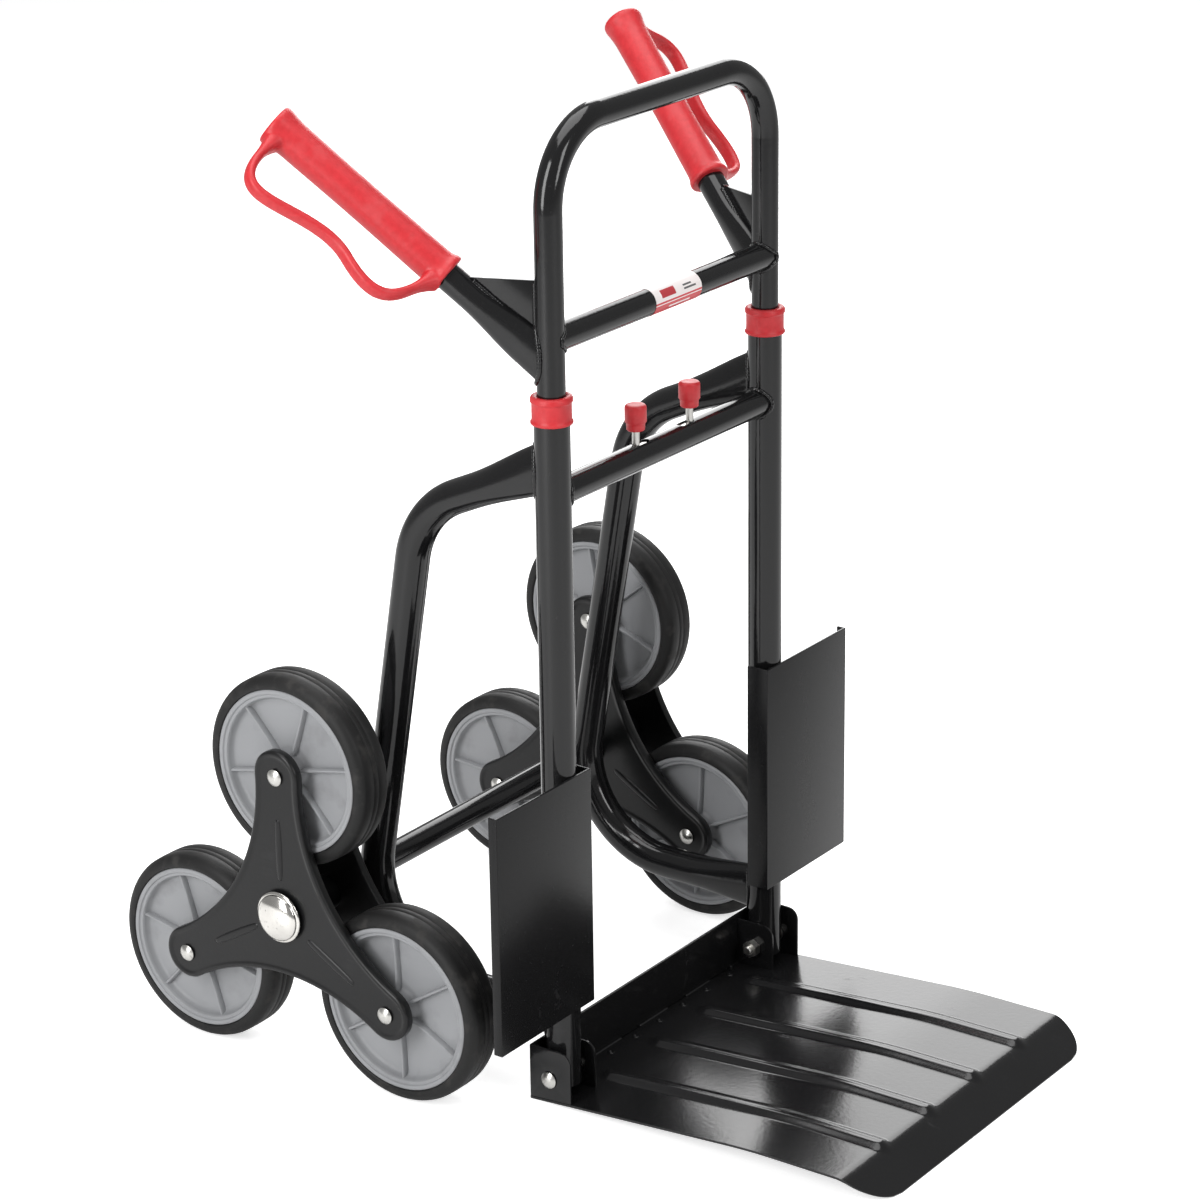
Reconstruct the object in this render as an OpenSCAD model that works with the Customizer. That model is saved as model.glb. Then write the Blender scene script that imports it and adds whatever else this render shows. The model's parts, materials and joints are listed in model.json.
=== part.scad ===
// Six-wheel stair-climbing hand truck: two lower uprights braced by bent rear tubes, a
// telescopic handle with splayed grips, a folding toe plate and two three-armed wheel stars.
// Millimetres, +Z up. The toe plate points along -Y and the grips reach back along +Y.
// The origin is under the middle of the whole truck, on the floor.

/* [Frame] */
// Distance between the centre lines of the two uprights
upright_gap = 292; // [250:1:350]
// Outer diameter of the uprights and the rear tubes
frame_d = 28; // [26:0.5:34]
// Wall of the uprights and the rear tubes
frame_wall = 1.25; // [1:0.05:1.6]
// Height of the top ends of the uprights
upright_top = 582; // [540:1:600]
// Height of the lower cross bar
lower_bar_z = 507.5; // [470:0.5:520]
// Outer diameter of both cross bars
bar_d = 22; // [18:0.5:26]
// Wall of both cross bars
bar_wall = 1.5; // [1:0.1:2]

/* [Handle] */
// Height of the top of the handle when it is pushed in
handle_top = 800; // [780:1:900]
// Outer diameter of the handle tube
handle_d = 22; // [18:0.5:24]
// Wall of the handle tube
handle_wall = 1.5; // [1:0.1:2]
// Centre-line radius of the two handle bends
handle_bend = 62; // [40:1:80]
// Height of the upper cross bar
upper_bar_z = 629; // [620:1:660]
// Height of the lower ends of the handle legs
handle_foot = 170; // [150:1:180]
// How far the handle pulls out
handle_travel = 300; // [200:10:300]
// Number of lock holes in each leg
lock_holes = 3; // [2:1:5]
// Height of the band of each collar
collar_h = 22; // [16:1:30]

/* [Grips] */
// Height where the grip tubes meet the handle legs
grip_root_z = 609.5; // [600:0.5:630]
// Rise of the grips above the horizontal, in degrees
grip_rise = 40; // [30:1:50]
// Splay of the grips away from each other, in degrees
grip_splay = 22; // [10:1:30]
// Distance along the grip tube from the leg to the grip
grip_start = 102; // [90:1:130]
// Length of a grip
grip_len = 172; // [150:1:200]
// Outer diameter of a grip
grip_d = 29; // [27:0.5:34]
// How far the guard stands out from the grip's axis
guard_reach = 60; // [45:1:70]
// Tilt of the guard below the horizontal, in degrees
guard_tilt = 28; // [0:1:45]

/* [Lock knobs] */
// Distance of each lock knob from the middle
knob_x = 37; // [34:0.5:60]
// Diameter of a lock knob
knob_d = 17.4; // [14:0.2:22]
// Travel of a lock knob
lock_travel = 12; // [8:1:14]
// Diameter of the lock pins
pin_d = 9; // [6:0.5:10]

/* [Rear tubes] */
// Height where the rear tubes' centre lines leave the uprights
rear_top_z = 531; // [500:1:540]
// Slope of the rear tubes below the horizontal at the top, in degrees
rear_slope = 24.2; // [15:0.1:35]
// Lean of the rear tubes away from the vertical, in degrees
rear_lean = 10; // [5:0.5:15]
// Height of the rear tubes' lower run
rear_low_z = 70; // [66:1:80]
// Centre-line radius of the upper bend
rear_bend_top = 80; // [60:1:100]
// Centre-line radius of the lower bend
rear_bend_low = 85; // [60:1:90]
// Height of the flattened ends
flare_h = 40; // [34:1:46]

/* [Wheels] */
// Diameter of a wheel
wheel_d = 160; // [130:1:190]
// Width of a tyre
tyre_w = 36; // [28:1:42]
// Thickness of a tyre from tread to rim
tyre_t = 11; // [8:0.5:16]
// Distance from the star's centre to each wheel's axle
arm_r = 120; // [115:1:150]
// Distance from the uprights back to the axle
star_y = 209; // [190:1:260]
// Distance from the middle of the truck to the middle of a wheel
wheel_x = 211.75; // [205:0.25:260]
// Width of a star over its two plates
star_w = 60; // [52:1:70]
// Thickness of a star plate
star_t = 2.5; // [2:0.1:4]
// Depth of a star plate's turned edge
star_edge = 8; // [5:0.5:8]
// Diameter of the axle
axle_d = 16; // [12:1:18]
// Outer diameter of the axle tube
axle_tube_d = 22; // [20:0.5:26]
// Diameter of the dome cap on each end of the axle
cap_d = 44; // [34:1:50]
// Diameter of the wheel sleeves
sleeve_d = 12; // [11:0.5:16]

/* [Side plates] */
// Height of a side plate's lower edge
side_low = 80; // [75:1:120]
// Height of a side plate's upper edge
side_high = 280; // [240:1:320]
// Distance from the middle to a side plate's outer edge
side_out = 248; // [220:1:260]
// Gap between a side plate's turned inner edge and the upright
side_gap = 4.5; // [3:0.5:5]
// Thickness of the side plates
side_t = 2; // [1.5:0.1:3]

/* [Toe plate] */
// Width of the toe plate
toe_w = 334; // [330:1:350]
// Distance from the uprights' centre line to the toe plate's front edge
toe_len = 308; // [280:1:400]
// Thickness of the toe plate's sheet
toe_t = 2; // [1.5:0.1:3]
// Depth of the ramp along the front edge, front to back
lip_len = 33; // [20:1:40]
// Height of the underside of the deck behind the ramp
lip_rise = 15.5; // [8:0.5:16]
// Distance from the uprights' centre line to where the rising deck levels out
deck_level = 190; // [150:1:220]
// Radius of the two front corners
toe_corner = 35; // [15:1:60]
// Height of the upstand behind the uprights
upstand_h = 48; // [44:1:48]
// Height of the toe plate's hinge
hinge_z = 21.5; // [20:0.5:24]
// Diameter of the hinge bolts
hinge_d = 8; // [6:0.5:8]

/* [Fits] */
// Clearance on the radius of what turns or slides
running = 0.05; // [0.02:0.01:0.09]
// Clearance between faces that pass each other
gap = 0.3; // [0.2:0.05:0.4]

/* [Hidden] */
$fn = 48;
RED = [0.80, 0.10, 0.12];
GLOSS = [0.03, 0.03, 0.03];
SATIN = [0.10, 0.10, 0.11];
ZINC = [0.78, 0.78, 0.76];
GREY = [0.50, 0.50, 0.52];
RUBBER = [0.16, 0.16, 0.16];

sides = [[-1, "left"], [1, "right"]];
arms = [[90, "top"], [210, "front"], [-30, "rear"]];
PLAIN = ["upright", "rear_tube", "side_plate", "collar", "inner_ear", "stub", "gusset", "grip",
    "lock_pin", "lock_knob", "lock_spring", "star_outer", "star_inner", "star_hub", "rivets",
    "sleeves"];
SINGLE = ["lower_crossbar", "crossbar_stop", "axle_tube", "axle_rod", "axle_caps",
    "upright_feet", "hinge_bolts", "hinge_spacers", "hinge_nuts", "handle_loop",
    "upper_crossbar", "label", "leg_glides", "toe_deck", "toe_upstand"];

// Main lines
half = upright_gap / 2;
frame_r = frame_d / 2;
frame_bore = frame_r - frame_wall;
handle_r = handle_d / 2;
bar_r = bar_d / 2;
wheel_r = wheel_d / 2;
star_z = wheel_r + arm_r * sin(30);
rear_y = star_y + arm_r * cos(30) + wheel_r;
mid_y = (rear_y - toe_len) / 2;

// Handle
bar_top_z = handle_top - handle_r;
glide_h = 20;
hole_pitch = handle_travel / (lock_holes - 1);
collar_wall = 1.5;
collar_lip = 4.5;
skirt_h = 30;
label_len = 62;
label_x = 8;
label_t = 0.3;

// Grips
stub_wall = 1.5;
stub_end = 4;
flange_t = 4;
flange_r = grip_d / 2 + 2;
flare_len = 60;
grip_flare_r = handle_r + 5;
gusset_t = 3;
gusset_top = 675 - grip_root_z;
strap_t = 7;
strap_w = 12;

// Lock
pin_r = pin_d / 2;
stem_r = 3;
piston_r = bar_r - bar_wall - running;
piston_half = 13;
knob_h = 21;
knob_low = lower_bar_z + bar_r + 11.5;
stop_half = 3;
wire_r = 0.8;
spring_turns = 5;

// Rear tubes: two headings below the horizontal, and the corners where the runs would meet
heading_low = 90 - rear_lean;
weld_bite = 0.8;
low_centre_z = rear_low_z + rear_bend_low;
low_reach = rear_bend_low + frame_r + axle_tube_d / 2 - weld_bite;
low_centre = [star_y - sqrt(pow(low_reach, 2) - pow(star_z - low_centre_z, 2)), low_centre_z];
low_corner = low_centre + [rear_bend_low * tan((180 - heading_low) / 2), -rear_bend_low];
top_start = [0, rear_top_z];
top_corner = meet(top_start, aim(-rear_slope), low_corner, aim(-heading_low));
top_trim = rear_bend_top * tan((heading_low - rear_slope) / 2);
top_end = top_corner - top_trim * aim(-rear_slope);
top_centre = top_end + rear_bend_top * aim(-rear_slope - 90);
flare_run = 55;
bend_steps = 9;
ring_sides = 24;

// Stars
arm_end_r = 22;
waist_r = 52;
waist_step = waist_r - arm_end_r;
side_d = (pow(arm_r, 2) - pow(waist_step, 2)) / (arm_r - 2 * waist_step);
axle_r = axle_d / 2;
star_hub_r = axle_r + 7;
hub_proud = 1;
sleeve_r = sleeve_d / 2;
rivet_r = 4;
head_r = 7;
head_h = 3.5;
cap_rim = 2;
cap_h = 8;
cap_x = wheel_x + star_w / 2 + hub_proud + gap;

// Wheels
rim_r = wheel_r - tyre_t;
rim_t = 7;
rim_half = tyre_w / 2 - 0.5;
web_half = 8;
rib_half = 12;
rib_t = 3;
rib_count = 6;
boss_r = 14;
boss_half = star_w / 2 - star_t - 0.5;
shoulder_r = 8;

// Hinge and toe plate
hinge_r = hinge_d / 2;
foot_z = hinge_z - 8.5;
wall_y = frame_r + 3;
ear_x = toe_w / 2;
ear_front = -21;
ear_corner = 10;
inner_ear_x = half - frame_r - 1;
inner_ear_front = -19;
deck_back = wall_y + toe_t;
deck_slope = atan(lip_rise / (deck_back + deck_level));
nut_h = 6.5;
nut_r = 7.5;
spacer_r = 7;
rib_x = [-105, -35, 35, 105];
rib_back = -20;
rib_front = -toe_len + lip_len + 7;
toe_rib_w = 11;
toe_rib_h = 2.5;
over = 20;

// A unit vector in the Y-Z plane at an angle above +Y
function aim(a) = [cos(a), sin(a)];

// Where the line through p along d meets the line through q along e
function meet(p, d, q, e) = p + d * (cross(q - p, e) / cross(d, e));

// Height of the top face of the deck's rising part
function deck_z(y) = toe_t + (deck_back - y) * tan(deck_slope);

// A point on a cubic Bezier curve through four control points
function bezier(c, t) = pow(1 - t, 3) * c[0] + 3 * pow(1 - t, 2) * t * c[1]
    + 3 * (1 - t) * t * t * c[2] + t * t * t * c[3];

// Puts the design, drawn about the uprights, over the origin
module place() { translate([0, -mid_y, 0]) children(); }

// Draws the right-hand shape, or its mirror image on the left
module hand(side) { if (side < 0) mirror([1, 0, 0]) children(); else children(); }

// Moves to a point of a flat drawing
module at(p) { translate([p[0], p[1], 0]) children(); }

// Turns a shape drawn flat, X to +Y and Y to +Z, to stand in a plane across X
module stand() { rotate([90, 0, 90]) children(); }

// A cylinder along X between two places
module along_x(r, x0, x1) { translate([x0, 0, 0]) rotate([0, 90, 0]) cylinder(r = r, h = x1 - x0); }

// A cylinder along Z between two heights
module along_z(r, z0, z1) { translate([0, 0, z0]) cylinder(r = r, h = z1 - z0); }

// The outside of the right-hand upright
module upright_rod() { translate([half, 0, 0]) along_z(frame_r, foot_z - over, upright_top + over); }

// The outside of the right-hand handle leg
module leg_rod() { translate([half, 0, 0]) along_z(handle_r, handle_foot, handle_top); }

// A shallow dome on +Z, with its flat face at the origin
module dome(r, h) {
    ball = (r * r + h * h) / (2 * h);
    intersection() {
        translate([0, 0, h - ball]) sphere(r = ball);
        cylinder(r = r, h = h);
    }
}

// ---- Frame ----

module upright() {
    color(GLOSS) difference() {
        translate([half, 0, 0]) along_z(frame_r, foot_z, upright_top);
        translate([half, 0, 0]) along_z(frame_bore, foot_z - over, upright_top + over);
        translate([0, 0, hinge_z]) along_x(hinge_r, half - over, half + over);
        translate([0, 0, lower_bar_z]) along_x(pin_r + running, half - over, half);
    }
}

module upright_feet() {
    plug_t = hinge_z - hinge_r - foot_z - 1;
    color(SATIN) for (s = [-1, 1]) translate([s * half, 0, 0])
        along_z(frame_bore, foot_z, foot_z + plug_t);
}

module lower_crossbar() {
    slot_r = stem_r + 0.6;
    color(GLOSS) difference() {
        translate([0, 0, lower_bar_z]) along_x(bar_r, -half, half);
        translate([0, 0, lower_bar_z]) along_x(bar_r - bar_wall, -half - over, half + over);
        for (s = [-1, 1]) hand(s) {
            upright_rod();
            translate([knob_x, 0, 0]) along_z(slot_r, lower_bar_z, lower_bar_z + over);
            translate([knob_x - lock_travel, 0, 0]) along_z(slot_r, lower_bar_z, lower_bar_z + over);
            translate([knob_x - lock_travel, -slot_r, lower_bar_z]) cube([lock_travel, 2 * slot_r, over]);
        }
    }
}

module crossbar_stop() {
    color(SATIN) translate([0, 0, lower_bar_z]) along_x(bar_r - bar_wall, -stop_half, stop_half);
}

// The rear tube's centre line from its foot to its top: [point, heading] for each ring
rear_rings = concat(
    [[[0, rear_low_z], 180], [[flare_run, rear_low_z], 180]],
    [for (i = [0 : bend_steps]) let (a = -90 + (180 - heading_low) * i / bend_steps)
        [low_centre + rear_bend_low * aim(a), a - 90]],
    [for (i = [0 : bend_steps]) let (a = 90 - heading_low + (heading_low - rear_slope) * i / bend_steps)
        [top_centre + rear_bend_top * aim(a), a - 90]],
    [[top_start + flare_run * aim(-rear_slope), -rear_slope], [top_start, -rear_slope]]);

// A skin along the rear tube at radius r; its two end rings are flattened to stand tall
module rear_skin(r, tall) {
    last = len(rear_rings) - 1;
    points = [for (i = [0 : last], k = [0 : ring_sides - 1]) let (
            end = i == 0 || i == last,
            across = (end ? r * r / (tall / 2) : r) * cos(360 * k / ring_sides),
            up = (end ? tall / 2 : r) * sin(360 * k / ring_sides),
            p = rear_rings[i][0] + up * aim(rear_rings[i][1] - 90))
        [across, p[0], p[1]]];
    skin = [for (i = [0 : last - 1], k = [0 : ring_sides - 1]) let (n = (k + 1) % ring_sides)
        [i * ring_sides + k, i * ring_sides + n, (i + 1) * ring_sides + n, (i + 1) * ring_sides + k]];
    ends = [[for (k = [ring_sides - 1 : -1 : 0]) k],
        [for (k = [0 : ring_sides - 1]) last * ring_sides + k]];
    polyhedron(points, concat(skin, ends));
}

module rear_tube() {
    color(GLOSS) difference() {
        translate([half, 0, 0]) difference() {
            rear_skin(frame_r, flare_h);
            rear_skin(frame_bore, flare_h - 2 * frame_wall);
        }
        upright_rod();
    }
}

module axle_tube() {
    reach = wheel_x - star_w / 2 - hub_proud - gap;
    color(GLOSS) difference() {
        translate([0, star_y, star_z]) along_x(axle_tube_d / 2, -reach, reach);
        translate([0, star_y, star_z]) along_x(axle_r, -reach - over, reach + over);
        for (s = [-1, 1]) translate([s * half, 0, 0]) stand() {
            at(low_centre) rotate_extrude() translate([rear_bend_low, 0]) circle(r = frame_r);
        }
    }
}

module axle_rod() {
    reach = cap_x + cap_rim + cap_h / 2;
    color(ZINC) translate([0, star_y, star_z]) along_x(axle_r, -reach, reach);
}

module axle_caps() {
    color(ZINC) for (s = [-1, 1]) hand(s) translate([cap_x, star_y, star_z]) difference() {
        union() {
            along_x(cap_d / 2, 0, cap_rim);
            translate([cap_rim, 0, 0]) rotate([0, 90, 0]) dome(cap_d / 2, cap_h);
        }
        along_x(axle_r, -over, cap_rim + cap_h / 2);
    }
}

module side_plate() {
    inner = half - frame_r - side_gap - side_t;
    front = -frame_r - side_t;
    inner_turn = 20;
    outer_turn = 8;
    color(GLOSS) translate([0, front, side_low]) {
        translate([inner, 0, 0]) cube([side_out - inner, side_t, side_high - side_low]);
        translate([inner, 0, 0]) cube([side_t, inner_turn, side_high - side_low]);
        translate([side_out - side_t, 0, 0]) cube([side_t, outer_turn, side_high - side_low]);
    }
}

module collar() {
    band_top = upright_top + collar_lip;
    color(RED) translate([half, 0, 0]) difference() {
        union() {
            along_z(frame_r + collar_wall, band_top - collar_h, band_top);
            along_z(frame_bore, upright_top - skirt_h, band_top);
        }
        along_z(handle_r + running, upright_top - skirt_h - over, band_top + over);
        difference() {
            along_z(frame_r, upright_top - skirt_h - over, upright_top);
            along_z(frame_bore, upright_top - skirt_h - 2 * over, upright_top + over);
        }
    }
}

// ---- Hinge ----

module hinge_bolts() {
    color(ZINC) for (s = [-1, 1]) hand(s) translate([0, 0, hinge_z]) {
        along_x(hinge_r, inner_ear_x - toe_t - gap - nut_h - 2, ear_x + gap);
        translate([ear_x + gap, 0, 0]) rotate([0, 90, 0]) dome(head_r, head_h);
    }
}

module hinge_nuts() {
    face = inner_ear_x - toe_t - gap;
    color(ZINC) for (s = [-1, 1]) hand(s) translate([0, 0, hinge_z]) difference() {
        translate([face - nut_h, 0, 0]) rotate([0, 90, 0]) cylinder(r = nut_r, h = nut_h, $fn = 6);
        along_x(hinge_r, face - nut_h - over, face + over);
    }
}

module hinge_spacers() {
    color(ZINC) for (s = [-1, 1]) hand(s) difference() {
        translate([0, 0, hinge_z]) along_x(spacer_r, inner_ear_x + gap, ear_x - toe_t - gap);
        translate([0, 0, hinge_z]) along_x(hinge_r, half - 2 * over, half + 2 * over);
        upright_rod();
        translate([half, 0, 0]) along_z(frame_bore, foot_z - over, upright_top);
    }
}

// ---- Handle ----

// The bent handle tube's shape at radius r
module handle_path(r) {
    corner = half - handle_bend;
    spring = bar_top_z - handle_bend;
    for (s = [-1, 1]) hand(s) {
        translate([half, 0, 0]) along_z(r, handle_foot, spring);
        translate([corner, 0, spring]) rotate([90, 0, 0]) rotate_extrude(angle = 90)
            translate([handle_bend, 0]) circle(r = r);
    }
    translate([0, 0, bar_top_z]) along_x(r, -corner, corner);
}

module handle_loop() {
    color(GLOSS) difference() {
        handle_path(handle_r);
        handle_path(handle_r - handle_wall);
        for (s = [-1, 1], i = [0 : lock_holes - 1])
            hand(s) translate([0, 0, lower_bar_z - i * hole_pitch])
                along_x(pin_r + 2 * running, half - over, half);
    }
}

module upper_crossbar() {
    color(GLOSS) difference() {
        translate([0, 0, upper_bar_z]) along_x(bar_r, -half, half);
        translate([0, 0, upper_bar_z]) along_x(bar_r - bar_wall, -half - over, half + over);
        for (s = [-1, 1]) hand(s) leg_rod();
    }
}

module label() {
    wrap = 250;
    color([0.85, 0.6, 0.6]) translate([label_x - label_len / 2, 0, upper_bar_z])
        stand() rotate([0, 0, 55]) rotate_extrude(angle = wrap)
            translate([bar_r, 0]) square([label_t, label_len]);
}

module leg_glides() {
    color(SATIN) for (s = [-1, 1]) translate([s * half, 0, 0]) difference() {
        along_z(frame_bore - running, handle_foot, handle_foot + glide_h);
        along_z(handle_r, handle_foot - over, handle_foot + glide_h + over);
    }
}

// ---- Grips ----

// Draws along the right-hand grip tube: +Z runs up it and +X points towards its guard
module on_grip() {
    translate([half, 0, grip_root_z]) rotate([0, 0, -grip_splay]) rotate([grip_rise - 90, 0, 0])
        rotate([0, 0, guard_tilt]) children();
}

// The stub's skin: a tube that grows taller towards the leg
module stub_skin() {
    flank = 1;
    on_grip() cylinder(r = handle_r, h = grip_start + grip_len - stub_end);
    difference() {
        on_grip() rotate([0, 0, -guard_tilt]) intersection() {
            cylinder(r1 = grip_flare_r, r2 = handle_r - flank / 2, h = flare_len);
            translate([flank - handle_r, -2 * grip_flare_r, -over])
                cube([2 * (handle_r - flank), 4 * grip_flare_r, flare_len + 2 * over]);
        }
        translate([half, 0, grip_root_z]) rotate([0, 0, -grip_splay])
            translate([-2 * over, -2 * over - handle_r / 4, -2 * over])
                cube([4 * over, 2 * over, 4 * over]);
    }
}

module stub() {
    color(GLOSS) difference() {
        stub_skin();
        on_grip() translate([0, 0, -over])
            cylinder(r = handle_r - stub_wall, h = grip_start + grip_len + 2 * over);
        leg_rod();
        translate([0, 0, upper_bar_z]) along_x(bar_r, 0, half);
    }
}

module gusset() {
    rise = tan(grip_rise);
    low = handle_r / cos(grip_rise);
    far = (gusset_top - low) / rise;
    color(GLOSS) difference() {
        translate([half, 0, grip_root_z]) rotate([0, 0, 90 - grip_splay]) rotate([90, 0, 0])
            translate([0, 0, -gusset_t / 2]) linear_extrude(gusset_t)
                polygon([[0, 0], [far, gusset_top], [0, gusset_top]]);
        leg_rod();
        stub_skin();
    }
}

// The guard's centre line, as [distance along the grip, distance from its axis]
guard_ends = [grip_start + 4, grip_start + grip_len - 10];
guard_low = [
    [guard_ends[0], grip_d / 2 - 2],
    [guard_ends[0] + 12, guard_reach - 14],
    [guard_ends[0] + 16, guard_reach + 18],
    [guard_ends[0] + 60, guard_reach - 5]];
guard_high = [
    [guard_ends[0] + 60, guard_reach - 5],
    [guard_ends[0] + 104, guard_reach - 28],
    [guard_ends[1] + 8, guard_reach + 46],
    [guard_ends[1], grip_d / 2 - 2]];
guard_steps = 20;
guard_line = concat(
    [for (i = [0 : guard_steps - 1]) bezier(guard_low, i / guard_steps)],
    [for (i = [0 : guard_steps]) bezier(guard_high, i / guard_steps)]);

// The point of a line's point i moved sideways by a distance
function beside(line, i, d) = let (
        a = line[max(i - 1, 0)],
        b = line[min(i + 1, len(line) - 1)],
        t = (b - a) / norm(b - a))
    line[i] + d * [-t[1], t[0]];

module guard() {
    n = len(guard_line) - 1;
    rotate([90, 0, 0]) translate([0, 0, -strap_w / 2]) linear_extrude(strap_w)
        polygon([for (p = concat(
            [for (i = [0 : n]) beside(guard_line, i, strap_t / 2)],
            [for (i = [n : -1 : 0]) beside(guard_line, i, -strap_t / 2)])) [p[1], p[0]]]);
}

module grip() {
    color(RED) on_grip() difference() {
        union() {
            translate([0, 0, grip_start]) {
                cylinder(r = grip_d / 2, h = grip_len);
                cylinder(r = flange_r, h = flange_t);
                translate([0, 0, grip_len - flange_t]) cylinder(r = flange_r, h = flange_t);
            }
            guard();
        }
        cylinder(r = handle_r, h = grip_start + grip_len - stub_end);
    }
}

// ---- Lock ----

module lock_pin() {
    color(ZINC) {
        translate([0, 0, lower_bar_z]) {
            along_x(pin_r, knob_x, half - handle_r - gap);
            along_x(piston_r, knob_x - piston_half, knob_x + piston_half);
        }
        translate([knob_x, 0, 0]) along_z(stem_r, lower_bar_z, knob_low + knob_h / 2);
    }
}

module lock_knob() {
    edge = 1.5;
    knob_r = knob_d / 2;
    color(RED) translate([knob_x, 0, knob_low]) difference() {
        union() {
            cylinder(r = knob_r, h = knob_h - edge);
            translate([0, 0, knob_h - edge]) cylinder(r1 = knob_r, r2 = knob_r - edge, h = edge);
        }
        translate([0, 0, -over]) cylinder(r = stem_r, h = over + knob_h / 2);
    }
}

module lock_spring() {
    sides_n = 6;
    per_turn = 16;
    rings = spring_turns * per_turn;
    coil_r = 6;
    start = stop_half + wire_r;
    rise = knob_x - piston_half - 2 * wire_r - stop_half;
    points = [for (i = [0 : rings], k = [0 : sides_n - 1]) let (
            turn = 360 * i / per_turn,
            reach = coil_r + wire_r * cos(360 * k / sides_n))
        [start + rise * i / rings + wire_r * sin(360 * k / sides_n),
            reach * cos(turn), reach * sin(turn)]];
    skin = [for (i = [0 : rings - 1], k = [0 : sides_n - 1]) let (n = (k + 1) % sides_n)
        [i * sides_n + k, i * sides_n + n, (i + 1) * sides_n + n, (i + 1) * sides_n + k]];
    ends = [[for (k = [sides_n - 1 : -1 : 0]) k], [for (k = [0 : sides_n - 1]) rings * sides_n + k]];
    color(ZINC) translate([0, 0, lower_bar_z]) polyhedron(points, concat(skin, ends));
}

// ---- Toe plate ----

// The deck's cross-section in the Y-Z plane, from the back edge to the tip of the ramp
module deck_section() {
    crease = -toe_len + lip_len;
    polygon([[deck_back, 0], [deck_back, toe_t], [-deck_level, lip_rise + toe_t],
        [crease, lip_rise + toe_t], [-toe_len, toe_t / 2], [-toe_len, 0],
        [crease, lip_rise - toe_t / 4], [-deck_level, lip_rise]]);
}

module toe_deck() {
    color(GLOSS) {
        intersection() {
            translate([-ear_x, 0, 0]) stand() linear_extrude(toe_w) deck_section();
            translate([0, 0, -over]) linear_extrude(lip_rise + 2 * over) {
                translate([-ear_x, -toe_len + toe_corner]) square([toe_w, toe_len - toe_corner + deck_back]);
                translate([-ear_x + toe_corner, -toe_len]) square([toe_w - 2 * toe_corner, toe_len]);
                for (s = [-1, 1]) translate([s * (ear_x - toe_corner), -toe_len + toe_corner])
                    circle(r = toe_corner);
            }
        }
        for (x = rib_x) translate([x - toe_rib_w / 2, 0, 0]) stand() linear_extrude(toe_rib_w)
            polygon([[rib_back, deck_z(rib_back) - toe_t / 2], [rib_back - toe_rib_h, deck_z(rib_back) + toe_rib_h],
                [-deck_level, lip_rise + toe_t + toe_rib_h], [rib_front + toe_rib_h, lip_rise + toe_t + toe_rib_h],
                [rib_front, lip_rise + toe_t / 2], [-deck_level, lip_rise + toe_t / 2]]);
    }
}

// Everything below the top face of the deck near the upstand
module below_deck() {
    translate([-ear_x - over, 0, 0]) stand() linear_extrude(toe_w + 2 * over)
        polygon([[deck_back + over, -over], [deck_back + over, deck_z(deck_back + over)],
            [ear_front - over, deck_z(ear_front - over)], [ear_front - over, -over]]);
}

// An ear's plate seen from the side, with its upper front corner rounded
module ear_side(front, top) {
    translate([front + ear_corner, 0]) square([deck_back - front - ear_corner, top]);
    translate([front, 0]) square([ear_corner, top - ear_corner]);
    translate([front + ear_corner, top - ear_corner]) circle(r = ear_corner);
}

module toe_upstand() {
    color(GLOSS) difference() {
        union() {
            translate([-ear_x, wall_y, 0]) cube([toe_w, toe_t, upstand_h]);
            for (s = [-1, 1]) hand(s) translate([ear_x - toe_t, 0, 0]) stand()
                linear_extrude(toe_t) ear_side(ear_front, upstand_h);
        }
        translate([0, 0, hinge_z]) along_x(hinge_r + running, -ear_x - over, ear_x + over);
        below_deck();
    }
}

module inner_ear() {
    color(GLOSS) difference() {
        translate([inner_ear_x - toe_t, 0, 0]) stand() linear_extrude(toe_t)
            ear_side(inner_ear_front, upstand_h - 4);
        translate([0, wall_y, 0]) cube([half, over, upstand_h]);
        translate([0, 0, hinge_z]) along_x(hinge_r + running, 0, half);
        below_deck();
    }
}

// ---- Wheel stars ----

// Moves to a star's centre, or to one of its wheels
module at_star() { translate([wheel_x, star_y, star_z]) children(); }
module at_wheel(a) { at_star() translate([0, arm_r * cos(a), arm_r * sin(a)]) children(); }

// A star's outline seen from the side, drawn in by inset all round
module star_outline(inset) {
    end_r = arm_end_r - inset;
    hollow_r = side_d - waist_r + inset;
    difference() {
        union() {
            for (a = arms) rotate(a[0]) translate([arm_r, 0]) circle(r = end_r);
            polygon([for (a = arms, turn = [-1, 1]) let (
                    end = arm_r * aim(a[0]),
                    side = side_d * aim(a[0] + turn * 60) - end)
                end + end_r * side / norm(side)]);
        }
        for (a = arms) rotate(a[0] + 60) translate([side_d, 0]) circle(r = hollow_r);
    }
}

// One pressed star plate: its face at x = 0 and its turned edge towards -X
module star_plate() {
    rib_low = cap_d / 2 + 8;
    rib_high = arm_r - arm_end_r - 12;
    difference() {
        union() {
            translate([-star_t, 0, 0]) stand() linear_extrude(star_t) star_outline(0);
            translate([-star_edge, 0, 0]) stand() difference() {
                linear_extrude(star_edge - star_t / 2) star_outline(0);
                translate([0, 0, -over]) linear_extrude(star_edge + 2 * over) star_outline(star_t);
            }
            for (a = arms) rotate([a[0] - 90, 0, 0]) intersection() {
                translate([-star_t / 2, 0, 0]) along_z(star_t, rib_low, rib_high);
                translate([-star_t / 2, -star_t, 0]) cube([star_t * 2, 2 * star_t, rib_high]);
            }
        }
        along_x(star_hub_r, -over, over);
        for (a = arms) rotate([a[0], 0, 0]) translate([0, arm_r, 0]) along_x(rivet_r, -over, over);
    }
}

module star_outer() { color(SATIN) at_star() translate([star_w / 2, 0, 0]) star_plate(); }

module star_inner() { color(SATIN) at_star() mirror([1, 0, 0]) translate([star_w / 2, 0, 0]) star_plate(); }

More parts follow.
